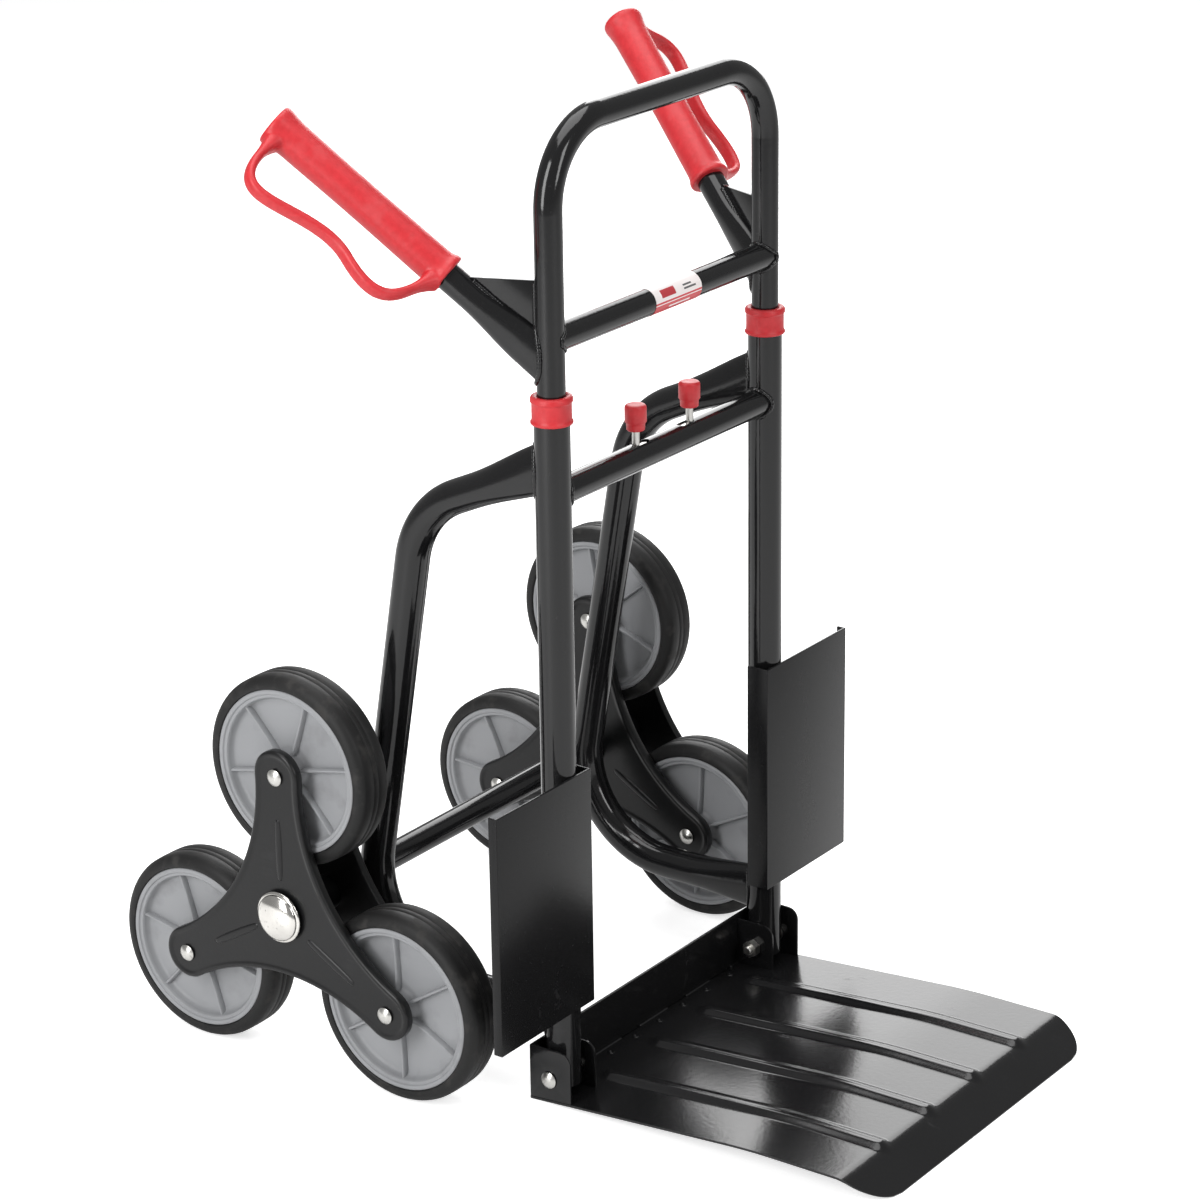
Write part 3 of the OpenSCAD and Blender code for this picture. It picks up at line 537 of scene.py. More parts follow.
def deck_mesh():
    marks = sorted({round(rx + d, 5) for rx in RIBS for d in np.linspace(-0.012, 0.012, 21)}
                   | {round(x, 5) for x in np.arange(-0.126, 0.127, 0.006)
                      if all(abs(x - rx) > 0.0145 for rx in RIBS)})
    outer = np.linspace(0, 1, 12)[1:]
    ys = sorted({round(y, 5) for y in np.arange(CREASE_Y + 0.004, DECK_BACK, 0.0055)}
                | {round(y, 5) for y in np.linspace(DECK_FRONT, CREASE_Y + 0.004, 22)}
                | {round(y, 5) for y in np.linspace(RIB_BACK - 0.004, RIB_BACK + 0.010, 8)}
                | {round(y, 5) for y in np.linspace(RIB_FRONT - 0.010, RIB_FRONT + 0.004, 8)}
                | {DECK_BACK})
    rows = []
    for y in ys:
        half = DECK_W / 2
        if y < DECK_FRONT + CORNER:
            half -= CORNER - math.sqrt(max(CORNER ** 2 - (DECK_FRONT + CORNER - y) ** 2, 0))
        edge = marks[-1]
        right = [edge + (half - edge) * t for t in outer]
        rows.append([(x, y) for x in [-x for x in reversed(right)] + marks + right])
    n, top, under = len(rows[0]), [], []
    for row in rows:
        for x, y in row:
            z = deck_top(x, y)
            top.append((x, y, z))
            under.append((x, y, max(z - SHEET * min(1, max((y - DECK_FRONT) / RAMP, 0.45)), 0.0)))
    count = len(top)
    faces = []
    for i in range(len(rows) - 1):
        for k in range(n - 1):
            a, b, c, d = i * n + k, i * n + k + 1, (i + 1) * n + k + 1, (i + 1) * n + k
            faces += [(a, b, c, d), (count + d, count + c, count + b, count + a)]
    rim = list(range(n)) + [i * n + n - 1 for i in range(1, len(rows))]
    rim += [(len(rows) - 1) * n + k for k in range(n - 2, -1, -1)]
    rim += [i * n for i in range(len(rows) - 2, 0, -1)]
    faces += [(rim[i], rim[(i + 1) % len(rim)], count + rim[(i + 1) % len(rim)], count + rim[i])
              for i in range(len(rim))]
    return mesh_from(top + under, faces, "toe_deck")


deck_coat = black_coat("toe_plate_powder_coat", rough=0.15, peel=0.00006, scuffs=0.8, speck=0.6,
                       shine=0.40)
deck = finished(deck_mesh(), "toe_deck_piece", deck_coat, 40)
ride_on(deck, "toe_plate", "gloss_black", "toe_deck")
trimmed("toe_upstand", "toe_plate", deck_coat, 0.0007)
for side, hand in SIDES:
    trimmed(f"{side}_inner_ear", "toe_plate", deck_coat, 0.0006)

# Spot welds: a row of small dimples with a raised rim along the foot of the upstand.
dots = Recipe("spot_welds", Count=7, Length=0.3, Size=0.0034)
row = dots.node("GeometryNodeMeshLine", {"mode": "OFFSET", "count_mode": "TOTAL"},
                {"Count": dots.size("Count"),
                 "Offset": dots.node("ShaderNodeCombineXYZ", None,
                                     {0: dots.size("Length") / (dots.size("Count") - 1)})})
row = dots.node("GeometryNodeInstanceOnPoints", None, {"Points": row, "Instance": dots.shape,
                "Scale": dots.node("ShaderNodeCombineXYZ", None, dict(enumerate([dots.size("Size")] * 3)))})
dots.serve(row, deck_coat)


def lathe(profile, name, steps=64):
    """A shape turned about X from (x, radius) points; points on the axis close it."""
    rings = [[(x, r * math.cos(a), r * math.sin(a)) for a in np.linspace(0, 2 * math.pi, steps, endpoint=False)]
             for x, r in profile]
    closed = profile[0][1] > 0 or profile[-1][1] > 0
    return loft(rings, name, closed=closed, caps=False)


def turned(mesh, turn=None, move=(0, 0, 0)):
    """The mesh after a turn and a move."""
    mesh.transform(Matrix.Translation(move) @ (turn or Matrix.Identity(4)))
    return mesh


STAND = Matrix.Rotation(math.radians(-90), 4, "Y")
dot_line = [(0.0, 0.0), (0.05, 0.35), (0.22, 0.62), (0.25, 0.8), (0.12, 1.0), (-0.4, 1.05), (-0.4, 0.0)]
dot = turned(lathe(dot_line, "dot", 16), STAND)
row_of_dots = dots.make(dot, "toe_plate_spot_welds", deck_coat, 60, Count=9, Length=0.28, Size=0.0030)
dot_y = UPRIGHT_Y + 0.0085
row_of_dots.data.transform(Matrix.Translation((-0.14, dot_y, deck_top(0, dot_y) - 0.0001)))
ride_on(row_of_dots, "toe_plate", "gloss_black")
seam_y, seam_z = UPRIGHT_Y + UPRIGHT_R + 0.0028, deck_top(0.06, UPRIGHT_Y + UPRIGHT_R + 0.003) + 0.0003
runs = [(-0.160, -0.120), (-0.085, -0.045), (-0.018, 0.022), (0.05, 0.085), (0.118, 0.160)]
welds("toe_plate_welds", "toe_plate",
      [[(x, seam_y, seam_z) for x in np.linspace(a, b, 12)] for a, b in runs], 0.0016)


# ---- The hinge bolts ----
# Zinc-plated carriage bolts with a low dome head, a spacer tube on each side of the upright
# and a nut inside.

def metal(name, colour, rough, grain):
    """Bare or plated metal: clouded, faintly brushed, dulled in patches."""
    coat = Finish(name, metallic=1.0)
    cloud, fine = coat.noise(60, 5), coat.noise(900, 3, (1, 0.15, 1))
    spots = ((coat.noise(330, 4) - 0.6) * 8).clip()
    dark = tuple(c * 0.72 for c in colour)
    dull = tuple(c * 0.45 for c in colour)
    coat.feed("Base Color", coat.blend(coat.blend(dark, colour, cloud * 1.6 - 0.2), dull, spots * 0.5))
    coat.feed("Roughness", rough + (cloud - 0.5) * 0.3 + spots * 0.2)
    coat.feed("Normal", coat.bump(fine + cloud, grain))
    return coat


zinc = metal("zinc_plate", (0.66, 0.65, 0.62), 0.30, 0.00003)
coated(zinc, "zinc", "hinge_spacers", "hinge_nuts", "axle_rod")


def dome(radius, height, rim=0.0008, steps=10):
    """(x, radius) points of a low dome on a short straight rim, from its back edge to its top."""
    ball = (radius ** 2 + (height - rim) ** 2) / (2 * (height - rim))
    top = math.asin(radius / ball)
    return [(0, radius * 0.95), (rim * 0.3, radius)] + [
        (height - ball + ball * math.cos(a), ball * math.sin(a)) for a in np.linspace(top, 0, steps)]


low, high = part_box("hinge_bolts")
HEAD_R, HEAD_H, BOLT_R = 0.007, 0.0035, 0.004
back_of_head, tip = high.x - HEAD_H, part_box("hinge_nuts")[1].x - 0.0105
bolt = [(tip, 0), (tip, BOLT_R * 0.8), (tip + 0.001, BOLT_R), (back_of_head, BOLT_R)]
bolt += [(back_of_head + x, r) for x, r in dome(HEAD_R, HEAD_H)]
bolt = turned(lathe(bolt, "hinge_bolt", 40), None, (0, HINGE.y, HINGE.z))
for side, hand in SIDES:
    piece = finished(bolt.copy() if hand > 0 else mirrored(bolt, "hinge_bolt"), f"{side}_hinge_bolt", zinc)
    ride_on(piece, "frame", "zinc", *(["hinge_bolts"] if hand > 0 else []))


# ---- The wheel stars ----
# Two pressed steel plates to a side, turned over at the edge, with a ridge down each arm;
# they hold three sleeves between them with domed rivets and turn on the axle.

star_coat = black_coat("star_powder_coat", rough=0.28, peel=0.00006, scuffs=0.35, speck=0.6, shine=0.30)
ARM, ARM_END_R, WAIST_R, STAR_W, STAR_T, STAR_EDGE = 0.120, 0.022, 0.052, 0.060, 0.0025, 0.008
ARMS = (("top", math.pi / 2), ("front", math.radians(210)), ("rear", math.radians(-30)))
SIDE_D = (ARM ** 2 - (WAIST_R - ARM_END_R) ** 2) / (ARM - 2 * (WAIST_R - ARM_END_R))


def star_outline(inset):
    """Points round the star, drawn in by inset: an arc at each arm's end and a hollow between."""
    line = []
    for name, a in ARMS[::-1]:
        end = ARM * aim(a)
        side = SIDE_D * aim(a + math.pi / 3) - end
        other = SIDE_D * aim(a - math.pi / 3) - end
        to, start = math.atan2(side[1], side[0]), math.atan2(other[1], other[0])
        while to < start:
            to += 2 * math.pi
        line += [tuple(end + (ARM_END_R - inset) * aim(t)) for t in np.linspace(start, to, 26)]
        middle, next_end = SIDE_D * aim(a + math.pi / 3), ARM * aim(a + 2 * math.pi / 3)
        hollow = np.linalg.norm(side) - ARM_END_R + inset
        a1, a2 = math.atan2(*(end - middle)[::-1]), math.atan2(*(next_end - middle)[::-1])
        if abs(a2 - a1) > math.pi:
            a2 += math.copysign(2 * math.pi, a1 - a2)
        line += [tuple(middle + hollow * aim(t)) for t in np.linspace(a1, a2, 38)[1:-1]]
    return line


def ordered_outline(inset):
    line = star_outline(inset)
    third = len(line) // 3
    return line[:third] + line[2 * third:] + line[third:2 * third]


def star_plate():
    """The right-hand outer plate: its face at x = 0, dished a little, its edge turned to -X."""
    t, depth = STAR_T, STAR_EDGE
    steps = [(0.0004, -depth), (0.0, -depth + 0.0005), (0.0, -0.0024), (0.0003, -0.0012), (0.0010, -0.0004),
             (0.0022, 0.0), (0.0036, 0.0), (0.0048, -0.0006), (0.0062, -0.0009), (0.0075, -0.0009),
             (0.0120, -0.0009), (0.0170, -0.0009)]
    rings = [[(x, y, z) for y, z in ordered_outline(i)] for i, x in steps]
    inner = ordered_outline(0.0170)
    for share in (0.92, 0.8, 0.65, 0.5):
        ring = []
        for y, z in inner:
            d = math.hypot(y, z)
            r = share * d + (1 - share) * 0.0155
            ring.append((-0.0009, y / d * r, z / d * r))
        rings.append(ring)
    hub = [(-0.0009, y / math.hypot(y, z) * 0.0150, z / math.hypot(y, z) * 0.0150) for y, z in inner]
    rings.append(hub)
    back = [[(x - t, y, z) for x, y, z in ring] for ring in reversed(rings[8:])]
    back += [[(-t - 0.0009, y, z) for y, z in ordered_outline(0.006)],
             [(-t - 0.0012, y, z) for y, z in ordered_outline(0.0034)],
             [(-t - 0.0030, y, z) for y, z in ordered_outline(0.0026)],
             [(-depth, y, z) for y, z in ordered_outline(0.0024)]]
    return loft(rings + back, "star_plate", closed=True)


# The ridges: one long low bead down the middle of each arm, repeated round the star.
ridges = Recipe("arm_ridges", Count=3, Start=0.030, End=0.084, Radius=0.0034)
line = ridges.node("GeometryNodeCurvePrimitiveLine", None, {
    "Start": ridges.node("ShaderNodeCombineXYZ", None, {2: ridges.size("Start")}),
    "End": ridges.node("ShaderNodeCombineXYZ", None, {2: ridges.size("End")})})
line = ridges.node("GeometryNodeResampleCurve", None, {"Curve": line, "Count": 40})
share = ridges.node("GeometryNodeSplineParameter", out="Factor")
ends = share * (1 - share) * 4
taper = ends ** 0.22
taper_line = ridges.node("GeometryNodeSetCurveRadius", None, {0: line, "Radius": taper * ridges.size("Radius")})
ring = ridges.node("GeometryNodeCurvePrimitiveCircle", {"mode": "RADIUS"}, {"Resolution": 14, "Radius": 1.0})
skin = ridges.tree.nodes.new("GeometryNodeCurveToMesh")
ridges.tree.links.new(taper_line.socket, skin.inputs["Curve"])
ridges.tree.links.new(ring.socket, skin.inputs["Profile Curve"])
if "Scale" in skin.inputs:
    ridges.tree.links.new(ridges.node("GeometryNodeInputRadius").socket, skin.inputs["Scale"])
spots = ridges.node("GeometryNodeMeshLine", {"mode": "OFFSET", "count_mode": "TOTAL"},
                    {"Count": ridges.size("Count"), "Offset": (0, 0, 0)})
number = ridges.node("GeometryNodeInputIndex")
spin = ridges.node("ShaderNodeCombineXYZ", None, {0: number * (2 * math.pi) / ridges.size("Count")})
spots = ridges.node("GeometryNodeInstanceOnPoints", None,
                    {"Points": spots, "Instance": Value(ridges, skin.outputs[0]), "Rotation": spin})
ridges.serve(ridges.node("GeometryNodeTransform", None, {0: spots, "Scale": (0.42, 1, 1)}), star_coat)


def joined(parts, name):
    """Several meshes as one."""
    work = bmesh.new()
    for part in parts:
        work.from_mesh(part)
    mesh = bpy.data.meshes.new(name)
    work.to_mesh(mesh)
    work.free()
    return mesh


plate = star_plate()
ridge = ridges.make(bpy.data.meshes.new("nothing"), "ridge", star_coat)
ridge_mesh = ridge.data
bpy.data.objects.remove(ridge)
ridge_mesh.transform(Matrix.Translation((-0.0011, 0, 0)))
faced = joined([plate, ridge_mesh], "faced_star_plate")
outer = turned(faced.copy(), None, (STAR.x + STAR_W / 2, STAR.y, STAR.z))
inner = faced.copy()
inner.transform(Matrix.Diagonal((-1, 1, 1, 1)))
inner.flip_normals()
inner = turned(inner, None, (STAR.x - STAR_W / 2, STAR.y, STAR.z))
both_sides(outer, "star_outer", star_coat, "{side}_star", "satin_black", 50)
both_sides(inner, "star_inner", star_coat, "{side}_star", "satin_black", 50)
coated(star_coat, "satin_black", "left_star_hub", "right_star_hub")
coated(zinc, "zinc", "left_sleeves", "right_sleeves")

# Rivets through the three sleeves, domed at both ends on a thin washer.
rivet = [(-STAR_W / 2 - x, r) for x, r in reversed(dome(HEAD_R, HEAD_H))]
rivet += [(-STAR_W / 2, 0.004), (STAR_W / 2, 0.004)] + [(STAR_W / 2 + x, r) for x, r in dome(HEAD_R, HEAD_H)]
rivet = lathe(rivet, "rivet", 40)
round_star = Recipe("round_the_star", Count=3, Reach=0.12)
place = round_star.node("ShaderNodeCombineXYZ", None, {2: round_star.size("Reach")})
moved = round_star.node("GeometryNodeTransform", None, {0: round_star.shape, "Translation": place})
spots = round_star.node("GeometryNodeMeshLine", {"mode": "OFFSET", "count_mode": "TOTAL"},
                        {"Count": round_star.size("Count"), "Offset": (0, 0, 0)})
number = round_star.node("GeometryNodeInputIndex")
spin = round_star.node("ShaderNodeCombineXYZ", None, {0: number * (2 * math.pi) / round_star.size("Count")})
round_star.serve(round_star.node("GeometryNodeInstanceOnPoints", None,
                                 {"Points": spots, "Instance": moved, "Rotation": spin}), zinc)
for side, hand in SIDES:
    piece = round_star.make(rivet, f"{side}_rivets_piece", zinc, Reach=ARM)
    piece.data.transform(Matrix.Translation((hand * STAR.x, STAR.y, STAR.z)))
    ride_on(piece, f"{side}_star", "zinc", f"{side}_rivets")


# ---- The axle caps ----
# Bright domed push-on caps, 44 mm across, with a rolled rim over a dark retaining ring.

bright = metal("bright_cap", (0.80, 0.78, 0.74), 0.13, 0.00001)
low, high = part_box("axle_caps")
CAP_R = (high.z - low.z) / 2
cap_back, cap_front = high.x - 0.010, high.x
cap = [(cap_back, 0.0075), (cap_back, CAP_R - 0.002), (cap_back + 0.0004, CAP_R - 0.0004),
       (cap_back + 0.0012, CAP_R),
       (cap_back + 0.0022, CAP_R - 0.0003), (cap_back + 0.0029, CAP_R - 0.0012),
       (cap_back + 0.0031, CAP_R - 0.0022)]
cap += [(cap_front - 0.0066 + 0.0066 * math.cos(a), (CAP_R - 0.0024) * math.sin(a))
        for a in np.linspace(math.pi / 2 * 0.98, 0, 22)]
cap = [(cap_back, 0)] + cap[1:]
cap = turned(lathe(cap, "axle_cap", 72), None, (0, STAR.y, STAR.z))
for side, hand in SIDES:
    piece = finished(cap.copy() if hand > 0 else mirrored(cap, "axle_cap"), f"{side}_axle_cap", bright, 50)
    ride_on(piece, "frame", "bright_cap", *(["axle_caps"] if hand > 0 else []))


# ---- The six wheels ----
# Grey injection-moulded wheels with a thin web, six ribs and a rounded rim flange, in solid
# black rubber tyres with a flat tread, round shoulders and fine mould lines.

WHEEL_R, TYRE_T, TYRE_W = 0.080, 0.011, 0.036
RIM_R, RIM_HALF = WHEEL_R - TYRE_T, TYRE_W / 2 - 0.0005
BOSS_HALF, BOSS_R, SLEEVE_R = STAR_W / 2 - STAR_T - 0.0005, 0.0135, 0.00605

hub_grey = Finish("grey_moulded_plastic", ior=1.46, coat_weight=0.0)
cloud, grit = hub_grey.noise(14, 4), hub_grey.noise(700, 3)
smudge = ((hub_grey.noise(38, 6) - 0.55) * 7).clip()
hub_grey.feed("Base Color", hub_grey.blend(hub_grey.blend((0.235, 0.24, 0.25), (0.285, 0.29, 0.30), cloud),
                                            (0.16, 0.16, 0.165), smudge * 0.35))
hub_grey.feed("Roughness", 0.40 + cloud * 0.12 + smudge * 0.15)
hub_grey.feed("Normal", hub_grey.bump(grit + cloud * 0.6, 0.00005))

rubber = Finish("black_rubber", ior=1.5, specular_ior_level=0.26)
bloom, grain = rubber.noise(11, 5), rubber.noise(520, 4)
scuff = ((rubber.noise(70, 7, (1, 1, 1)) - 0.54) * 8).clip()
rubber.feed("Base Color", rubber.blend(rubber.blend((0.006, 0.006, 0.0064), (0.013, 0.0127, 0.0124), bloom),
                                        (0.055, 0.052, 0.049), scuff * 0.35))
rubber.feed("Roughness", 0.46 + bloom * 0.14 + scuff * 0.16)
rubber.feed("Normal", rubber.bump(grain + bloom * 0.5, 0.00010))

shoulder = 0.0085
tread = [(0.0, WHEEL_R)] + [(x, WHEEL_R - d) for x, d in (
    (0.0020, 0), (0.0026, 0.0004), (0.0032, 0.0004), (0.0038, 0), (0.0078, 0.0001))]
tread += [(TYRE_W / 2 - shoulder + shoulder * math.sin(a), WHEEL_R - shoulder + shoulder * math.cos(a))
          for a in np.linspace(0.25, math.pi / 2 * 0.97, 9)]
tread += [(TYRE_W / 2, RIM_R + 0.0014), (TYRE_W / 2 - 0.0004, RIM_R + 0.0006),
          (TYRE_W / 2 - 0.0012, RIM_R + 0.00005),
          (0.012, RIM_R - 0.0001)]
tyre_profile = tread + [(-x, r) for x, r in reversed(tread[1:])]
tyre = lathe(tyre_profile, "tyre", 112)

hub_half = [(0.0, RIM_R), (RIM_HALF - 0.0018, RIM_R), (RIM_HALF - 0.0006, RIM_R - 0.0003),
            (RIM_HALF, RIM_R - 0.0012),
            (RIM_HALF, RIM_R - 0.0030), (RIM_HALF - 0.0005, RIM_R - 0.0038),
            (RIM_HALF - 0.0014, RIM_R - 0.0041),
            (RIM_HALF - 0.0018, RIM_R - 0.0046), (RIM_HALF - 0.0018, RIM_R - 0.0066),
            (RIM_HALF - 0.0024, RIM_R - 0.0073),
            (RIM_HALF - 0.0045, RIM_R - 0.0078), (0.0098, RIM_R - 0.0088), (0.0086, RIM_R - 0.0102),
            (0.0080, RIM_R - 0.0125),
            (0.0078, 0.032), (0.0080, BOSS_R + 0.0048), (0.0088, BOSS_R + 0.0024), (0.0105, BOSS_R + 0.0010),
            (0.018, BOSS_R + 0.0002), (BOSS_HALF - 0.0010, BOSS_R - 0.0004),
            (BOSS_HALF - 0.0003, BOSS_R - 0.0010),
            (BOSS_HALF, BOSS_R - 0.0020), (BOSS_HALF, SLEEVE_R + 0.0006), (BOSS_HALF - 0.0006, SLEEVE_R)]
hub_profile = hub_half + [(-x, r) for x, r in reversed(hub_half[1:])]
hub = lathe(hub_profile, "hub", 112)


def rib_mesh():
    """One radial rib through the web, tapered to its crest and falling a little to the middle."""
    rings = []
    for r, high in ((BOSS_R - 0.002, 0.0150), (BOSS_R + 0.004, 0.0146), (0.030, 0.0132), (0.045, 0.0130),
                    (RIM_R - 0.0085, 0.0136), (RIM_R - 0.0055, 0.0142)):
        half = [(0.0017, 0.0), (0.0016, 0.0080), (0.0013, high - 0.0009), (0.0006, high - 0.0001)]
        loop = [(x, w, r) for w, x in half] + [(x, -w, r) for w, x in reversed(half)]
        loop += [(-x, -w, r) for w, x in half[1:]] + [(-x, w, r) for w, x in reversed(half[1:])]
        rings.append(loop)
    return loft(rings, "rib")


ribbed = Recipe("wheel_ribs", Count=6)
spots = ribbed.node("GeometryNodeMeshLine", {"mode": "OFFSET", "count_mode": "TOTAL"},
                    {"Count": ribbed.size("Count"), "Offset": (0, 0, 0)})
number = ribbed.node("GeometryNodeInputIndex")
spin = ribbed.node("ShaderNodeCombineXYZ", None, {0: number * (2 * math.pi) / ribbed.size("Count")})
ribbed.serve(ribbed.node("GeometryNodeInstanceOnPoints", None,
                         {"Points": spots, "Instance": ribbed.shape, "Rotation": spin}), hub_grey)
ribs = ribbed.make(rib_mesh(), "ribs", hub_grey, Count=6)
rib_set = ribs.data
bpy.data.objects.remove(ribs)
hub = joined([hub, rib_set], "ribbed_hub")
REST_TURN = {"left_top": 47.8, "left_front": 87.5, "left_rear": 12.0,
             "right_top": 21.0, "right_front": 33.0, "right_rear": 5.0}
for side, hand in SIDES:
    for arm, angle in ARMS:
        spot = Vector(joints[f"{side}_{arm}_turn"]["pos_m"])
        turn = Matrix.Rotation(math.radians(REST_TURN[f"{side}_{arm}"] - 90), 4, "X")
        for shape, part, coat, slot in ((tyre, "tyre", rubber, "rubber"),
                                        (hub, "wheel", hub_grey, "grey_plastic")):
            piece = finished(turned(shape.copy(), turn, spot), f"{side}_{arm}_{part}_piece", coat, 38)
            ride_on(piece, f"{side}_{arm}_roll", slot, f"{side}_{arm}_{part}")


# ---- The sliding handle ----
# One length of 22 mm tube bent twice at the top, with its crossbar welded in and the same
# black coat; its legs run down inside the uprights.

HANDLE_R, UPPER_BAR_Z = 0.011, 0.629
coated(gloss, "gloss_black", "handle_loop", "upper_crossbar")
upper_seam = saddle(BAR_R + 0.0006, HANDLE_R, UPPER_BAR_Z)
welds("upper_crossbar_welds", "handle", [flip(upper_seam, hand) for side, hand in SIDES], 0.0018)


# ---- The grip stubs and their gussets ----
# The same tube, pressed taller where it is welded to the leg, and a 3 mm web above it; the
# welds are heavy and lumpy under the coat.

ROOT = Vector((UPRIGHT_X, UPRIGHT_Y, 0.6095))
RISE, SPLAY, GUARD_TILT = math.radians(40), math.radians(22), math.radians(28)
GRIP_START, GRIP_LEN = 0.102, 0.172
away = Vector((math.sin(SPLAY), math.cos(SPLAY), 0))
ALONG = math.cos(RISE) * away + Vector((0, 0, math.sin(RISE)))
OVER = Vector((math.cos(SPLAY), -math.sin(SPLAY), 0))
ABOVE = OVER.cross(ALONG)


def stub_ring(s, wide, tall, trim=False, steps=40):
    """A ring of the stub at s along it; trimmed, its points lie on the leg."""
    ring = []
    for a in np.linspace(0, 2 * math.pi, steps, endpoint=False):
        c, d = math.cos(a), math.sin(a)
        u, v = wide * math.copysign(abs(c) ** 0.85, c), tall * math.copysign(abs(d) ** 0.9, d)
        at = s
        if trim:
            at = (math.sqrt(HANDLE_R ** 2 - u ** 2) - 0.0005 + v * math.sin(RISE)) / math.cos(RISE)
        ring.append(tuple(ROOT + ALONG * at + OVER * u + ABOVE * v))
    return ring


stub_rings = [stub_ring(0, 0.0086, 0.0165, True)]
for s in np.linspace(0.028, 0.085, 20):
    flat = 1 - smooth_step((s - 0.020) / 0.060)
    stub_rings.append(stub_ring(s, HANDLE_R - 0.0022 * flat, HANDLE_R + 0.0050 * flat))
stub_rings += [stub_ring(s, HANDLE_R, HANDLE_R) for s in (GRIP_START, GRIP_START + GRIP_LEN - 0.006)]
both_sides(loft(stub_rings, "stub"), "stub", gloss, "handle", "gloss_black", 60)
for side, hand in SIDES:
    trimmed(f"{side}_gusset", "handle", gloss, 0.0005)
low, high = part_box("right_gusset")
GUSSET_TOP = high.z
stub_seam = swollen(stub_rings[0], 0.0012)
web_low = HANDLE_R / math.cos(RISE)
web_far = (GUSSET_TOP - ROOT.z - web_low) / math.tan(RISE)
lines = [stub_seam]
for w in (0.0019, -0.0019):
    side_step = OVER * w
    lines.append([tuple(ROOT + side_step + away * (HANDLE_R - 0.0004) + Vector((0, 0, z)))
                  for z in np.linspace(0.026, GUSSET_TOP - ROOT.z - 0.002, 20)])
    lines.append([tuple(ROOT + side_step + away * d + Vector((0, 0, web_low + d * math.tan(RISE) - 0.0002)))
                  for d in np.linspace(0.026, web_far - 0.003, 24)])
welds("grip_welds", "handle", [flip(line, hand) for side, hand in SIDES for line in lines], 0.0023)


# ---- The grips ----
# Red moulded sleeves pushed over the stubs, each with a bow-shaped knuckle guard that grows
# out of both ends in smooth webs; the surface is lightly grained.

red = Finish("red_moulded_plastic", ior=1.47, subsurface_weight=0.0)
cloud, mottle, grit = red.noise(18, 4), red.noise(230, 4), red.noise(900, 2)
rub = ((red.noise(45, 7) - 0.57) * 8).clip()
red.feed("Base Color", red.blend(red.blend((0.44, 0.013, 0.018), (0.56, 0.023, 0.030), mottle * 1.5 - 0.25),
                                  (0.50, 0.06, 0.065), rub * 0.4))
red.feed("Roughness", 0.36 + cloud * 0.14 + rub * 0.12)
red.feed("Normal", red.bump(mottle + grit * 0.4, 0.00016))


def on_grip(s, out, turn=0.0, tilt=GUARD_TILT):
    """The place s along the right grip and out from its axis, round from its guard by turn."""
    a = tilt + turn
    return ROOT + ALONG * s + (OVER * math.cos(a) - ABOVE * math.sin(a)) * out


def bezier(c, t):
    c = [np.array(p) for p in c]
    return (1 - t) ** 3 * c[0] + 3 * (1 - t) ** 2 * t * c[1] + 3 * (1 - t) * t * t * c[2] + t ** 3 * c[3]


def guard_line():
    """(along, out) points of the guard's bow, from its lower end to its upper end."""
    low, high = GRIP_START + 0.006, GRIP_START + GRIP_LEN - 0.010
    bow = ([low, 0.0125], [low + 0.010, 0.042], [low + 0.012, 0.071], [low + 0.058, 0.051])
    rise = ([low + 0.058, 0.051], [low + 0.104, 0.031], [high + 0.006, 0.103], [high, 0.0125])
    line = [bezier(bow, t) for t in np.linspace(0, 1, 30, endpoint=False)]
    return line + [bezier(rise, t) for t in np.linspace(0, 1, 40)]


def guard_rings():
    line, rings = guard_line(), []
    for i, p in enumerate(line):
        ahead = line[min(i + 1, len(line) - 1)] - line[max(i - 1, 0)]
        ahead /= np.linalg.norm(ahead)
        side = np.array([-ahead[1], ahead[0]])
        near = max(0.0, 1 - (p[1] - 0.0125) / 0.020)
        thick, wide = 0.0036 + 0.0050 * near ** 2, 0.0062 + 0.0030 * near
        ring = []
        for a in np.linspace(0, 2 * math.pi, 20, endpoint=False):
            c, d = math.cos(a), math.sin(a)
            u, v = thick * math.copysign(abs(c) ** 0.75, c), wide * math.copysign(abs(d) ** 0.75, d)
            q = p + side * u
            at = on_grip(q[0], q[1])
            cross = OVER * math.sin(GUARD_TILT) + ABOVE * math.cos(GUARD_TILT)
            ring.append(tuple(at + cross * v))
        rings.append(ring)
    return rings


def sleeve_rings():
    end = GRIP_START + GRIP_LEN
    profile = [(GRIP_START, 0.0116), (GRIP_START, 0.0160), (GRIP_START + 0.001, 0.0168),
               (GRIP_START + 0.0042, 0.0168),
               (GRIP_START + 0.0055, 0.0160), (GRIP_START + 0.0075, 0.0152)]
    profile += [(GRIP_START + s, 0.0148 - 0.0006 * math.sin(math.pi * s / GRIP_LEN) ** 2)
                for s in np.linspace(0.012, GRIP_LEN - 0.020, 14)]
    profile += [(end - 0.014, 0.0152), (end - 0.008, 0.0160), (end - 0.0045, 0.0167),
                (end - 0.0015, 0.0166), (end - 0.0003, 0.0156),
                (end, 0.0140), (end - 0.0012, 0.0118), (end - 0.0016, 0.0060), (end - 0.0016, 0.0006)]
    return [[tuple(on_grip(s, r, a)) for a in np.linspace(0, 2 * math.pi, 56, endpoint=False)]
            for s, r in profile]


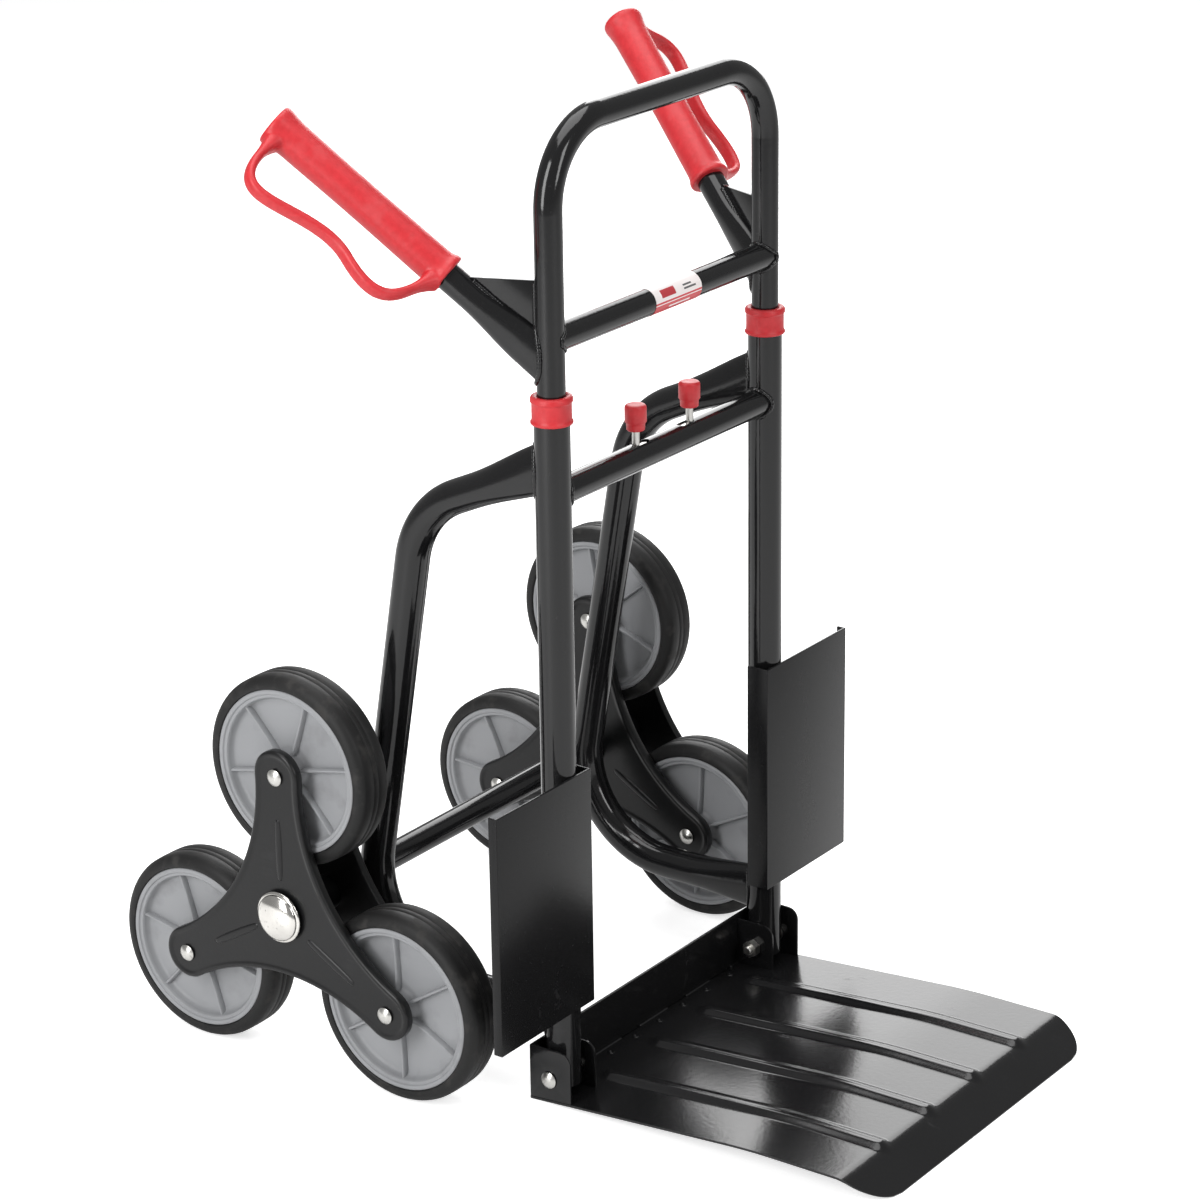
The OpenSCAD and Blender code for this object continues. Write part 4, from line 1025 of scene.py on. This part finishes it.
def cast(mesh, name, voxel, rounds):
    """Shapes that overlap, run together into one skin with soft inside corners."""
    solid = bpy.data.objects.new(name, mesh)
    bpy.context.scene.collection.objects.link(solid)
    fuse = solid.modifiers.new("fuse", "REMESH")
    fuse.mode, fuse.voxel_size, fuse.adaptivity = "VOXEL", voxel, 0.0
    ease = solid.modifiers.new("ease", "SMOOTH")
    ease.factor, ease.iterations = 0.5, rounds
    graph = bpy.context.evaluated_depsgraph_get()
    made = bpy.data.meshes.new_from_object(solid.evaluated_get(graph), depsgraph=graph)
    bpy.data.objects.remove(solid)
    return made


sleeve = loft(sleeve_rings(), "sleeve")
guard = loft(guard_rings(), "guard")
grip = cast(joined([sleeve, guard], "grip"), "grip", 0.0011, 5)
both_sides(grip, "grip", red, "handle", "red_plastic", 70)


# ---- The collars ----
# Red moulded sleeves that guide the legs and cover the uprights' cut ends, with a bead
# round the foot and the mouth.

low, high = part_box("right_collar")
BAND_H, BAND_R = 0.022, (high.x - low.x) / 2
foot, mouth = high.z - BAND_H, high.z
collar = [(foot, 0.0141), (foot, BAND_R + 0.0003), (foot + 0.0006, BAND_R + 0.0009),
          (foot + 0.0018, BAND_R + 0.0009),
          (foot + 0.0026, BAND_R + 0.0002), (foot + 0.004, BAND_R - 0.0001),
          (mouth - 0.0062, BAND_R - 0.0001), (mouth - 0.0052, BAND_R + 0.0002),
          (mouth - 0.0044, BAND_R + 0.0009), (mouth - 0.0018, BAND_R + 0.0008),
          (mouth - 0.0006, BAND_R + 0.0001),
          (mouth, BAND_R - 0.0012), (mouth, 0.0121), (mouth - 0.0008, 0.01112), (low.z, 0.01108),
          (low.z, 0.0126), (mouth - 0.0052, 0.0126),
          (mouth - 0.0052, 0.0141)]
collar = turned(lathe(collar, "collar", 64), STAND, (UPRIGHT_X, UPRIGHT_Y, 0))
both_sides(collar, "collar", red, "frame", "red_plastic", 40)


# ---- The two lock knobs ----
# Red caps on plated stems, which stand in slots of the lower crossbar; pinching them
# together draws both pins out of the legs.

coated(zinc, "zinc", "left_lock_pin", "right_lock_pin", "left_lock_spring", "right_lock_spring")
low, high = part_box("right_lock_knob")
KNOB_R = (high.x - low.x) / 2
knob = [(low.z, 0), (low.z, 0.0031), (low.z, KNOB_R - 0.0022), (low.z + 0.0008, KNOB_R - 0.0014),
        (low.z + 0.0055, KNOB_R - 0.0012),
        (low.z + 0.0064, KNOB_R - 0.0006), (low.z + 0.0072, KNOB_R)]
knob += [(high.z - 0.0026 + 0.0026 * math.sin(a), KNOB_R - 0.0026 + 0.0026 * math.cos(a))
         for a in np.linspace(0, math.pi / 2 * 0.95, 7)]
knob += [(high.z, KNOB_R * 0.4), (high.z - 0.0003, 0)]
knob = turned(lathe(knob, "lock_knob", 48), Matrix.Rotation(math.radians(-90), 4, "Y"),
              ((low.x + high.x) / 2, (low.y + high.y) / 2, 0))
both_sides(knob, "lock_knob", red, "{side}_lock", "red_plastic", 40)


# ---- The label ----
# A wrap of printed film round the upper crossbar: white above and red below, with a thin
# line between and plain blocks in place of print.

film = Finish("label_film", roughness=0.28)
x, z = film.axis(0), film.axis(2) - UPPER_BAR_Z
low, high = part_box("label")
left, wide = low.x, high.x - low.x
along_label = (x - left) / wide
upper = z > 0.0002
blocks = along_label.between(0.62, 0.88) * z.between(0.0034, 0.0048)
blocks = blocks + along_label.between(0.62, 0.80) * z.between(0.0060, 0.0072)
badge = along_label.between(0.14, 0.44) * z.between(0.0030, 0.0086)
pale = along_label.between(0.30, 0.76) * z.between(-0.0062, -0.0048)
stripe = z.between(-0.0022, -0.0014)
tint = film.noise(30, 3)
paper = film.blend((0.80, 0.72, 0.71), (0.88, 0.84, 0.83), tint)
ink = film.blend((0.50, 0.020, 0.030), (0.62, 0.035, 0.045), tint)
sheet = film.blend(ink, paper, (upper + stripe + pale).clip())
sheet = film.blend(sheet, (0.45, 0.04, 0.05), badge)
film.feed("Base Color", film.blend(sheet, (0.10, 0.10, 0.10), blocks))
film.feed("Normal", film.bump(film.noise(80, 3), 0.00012))
coated(film, "label", "label")
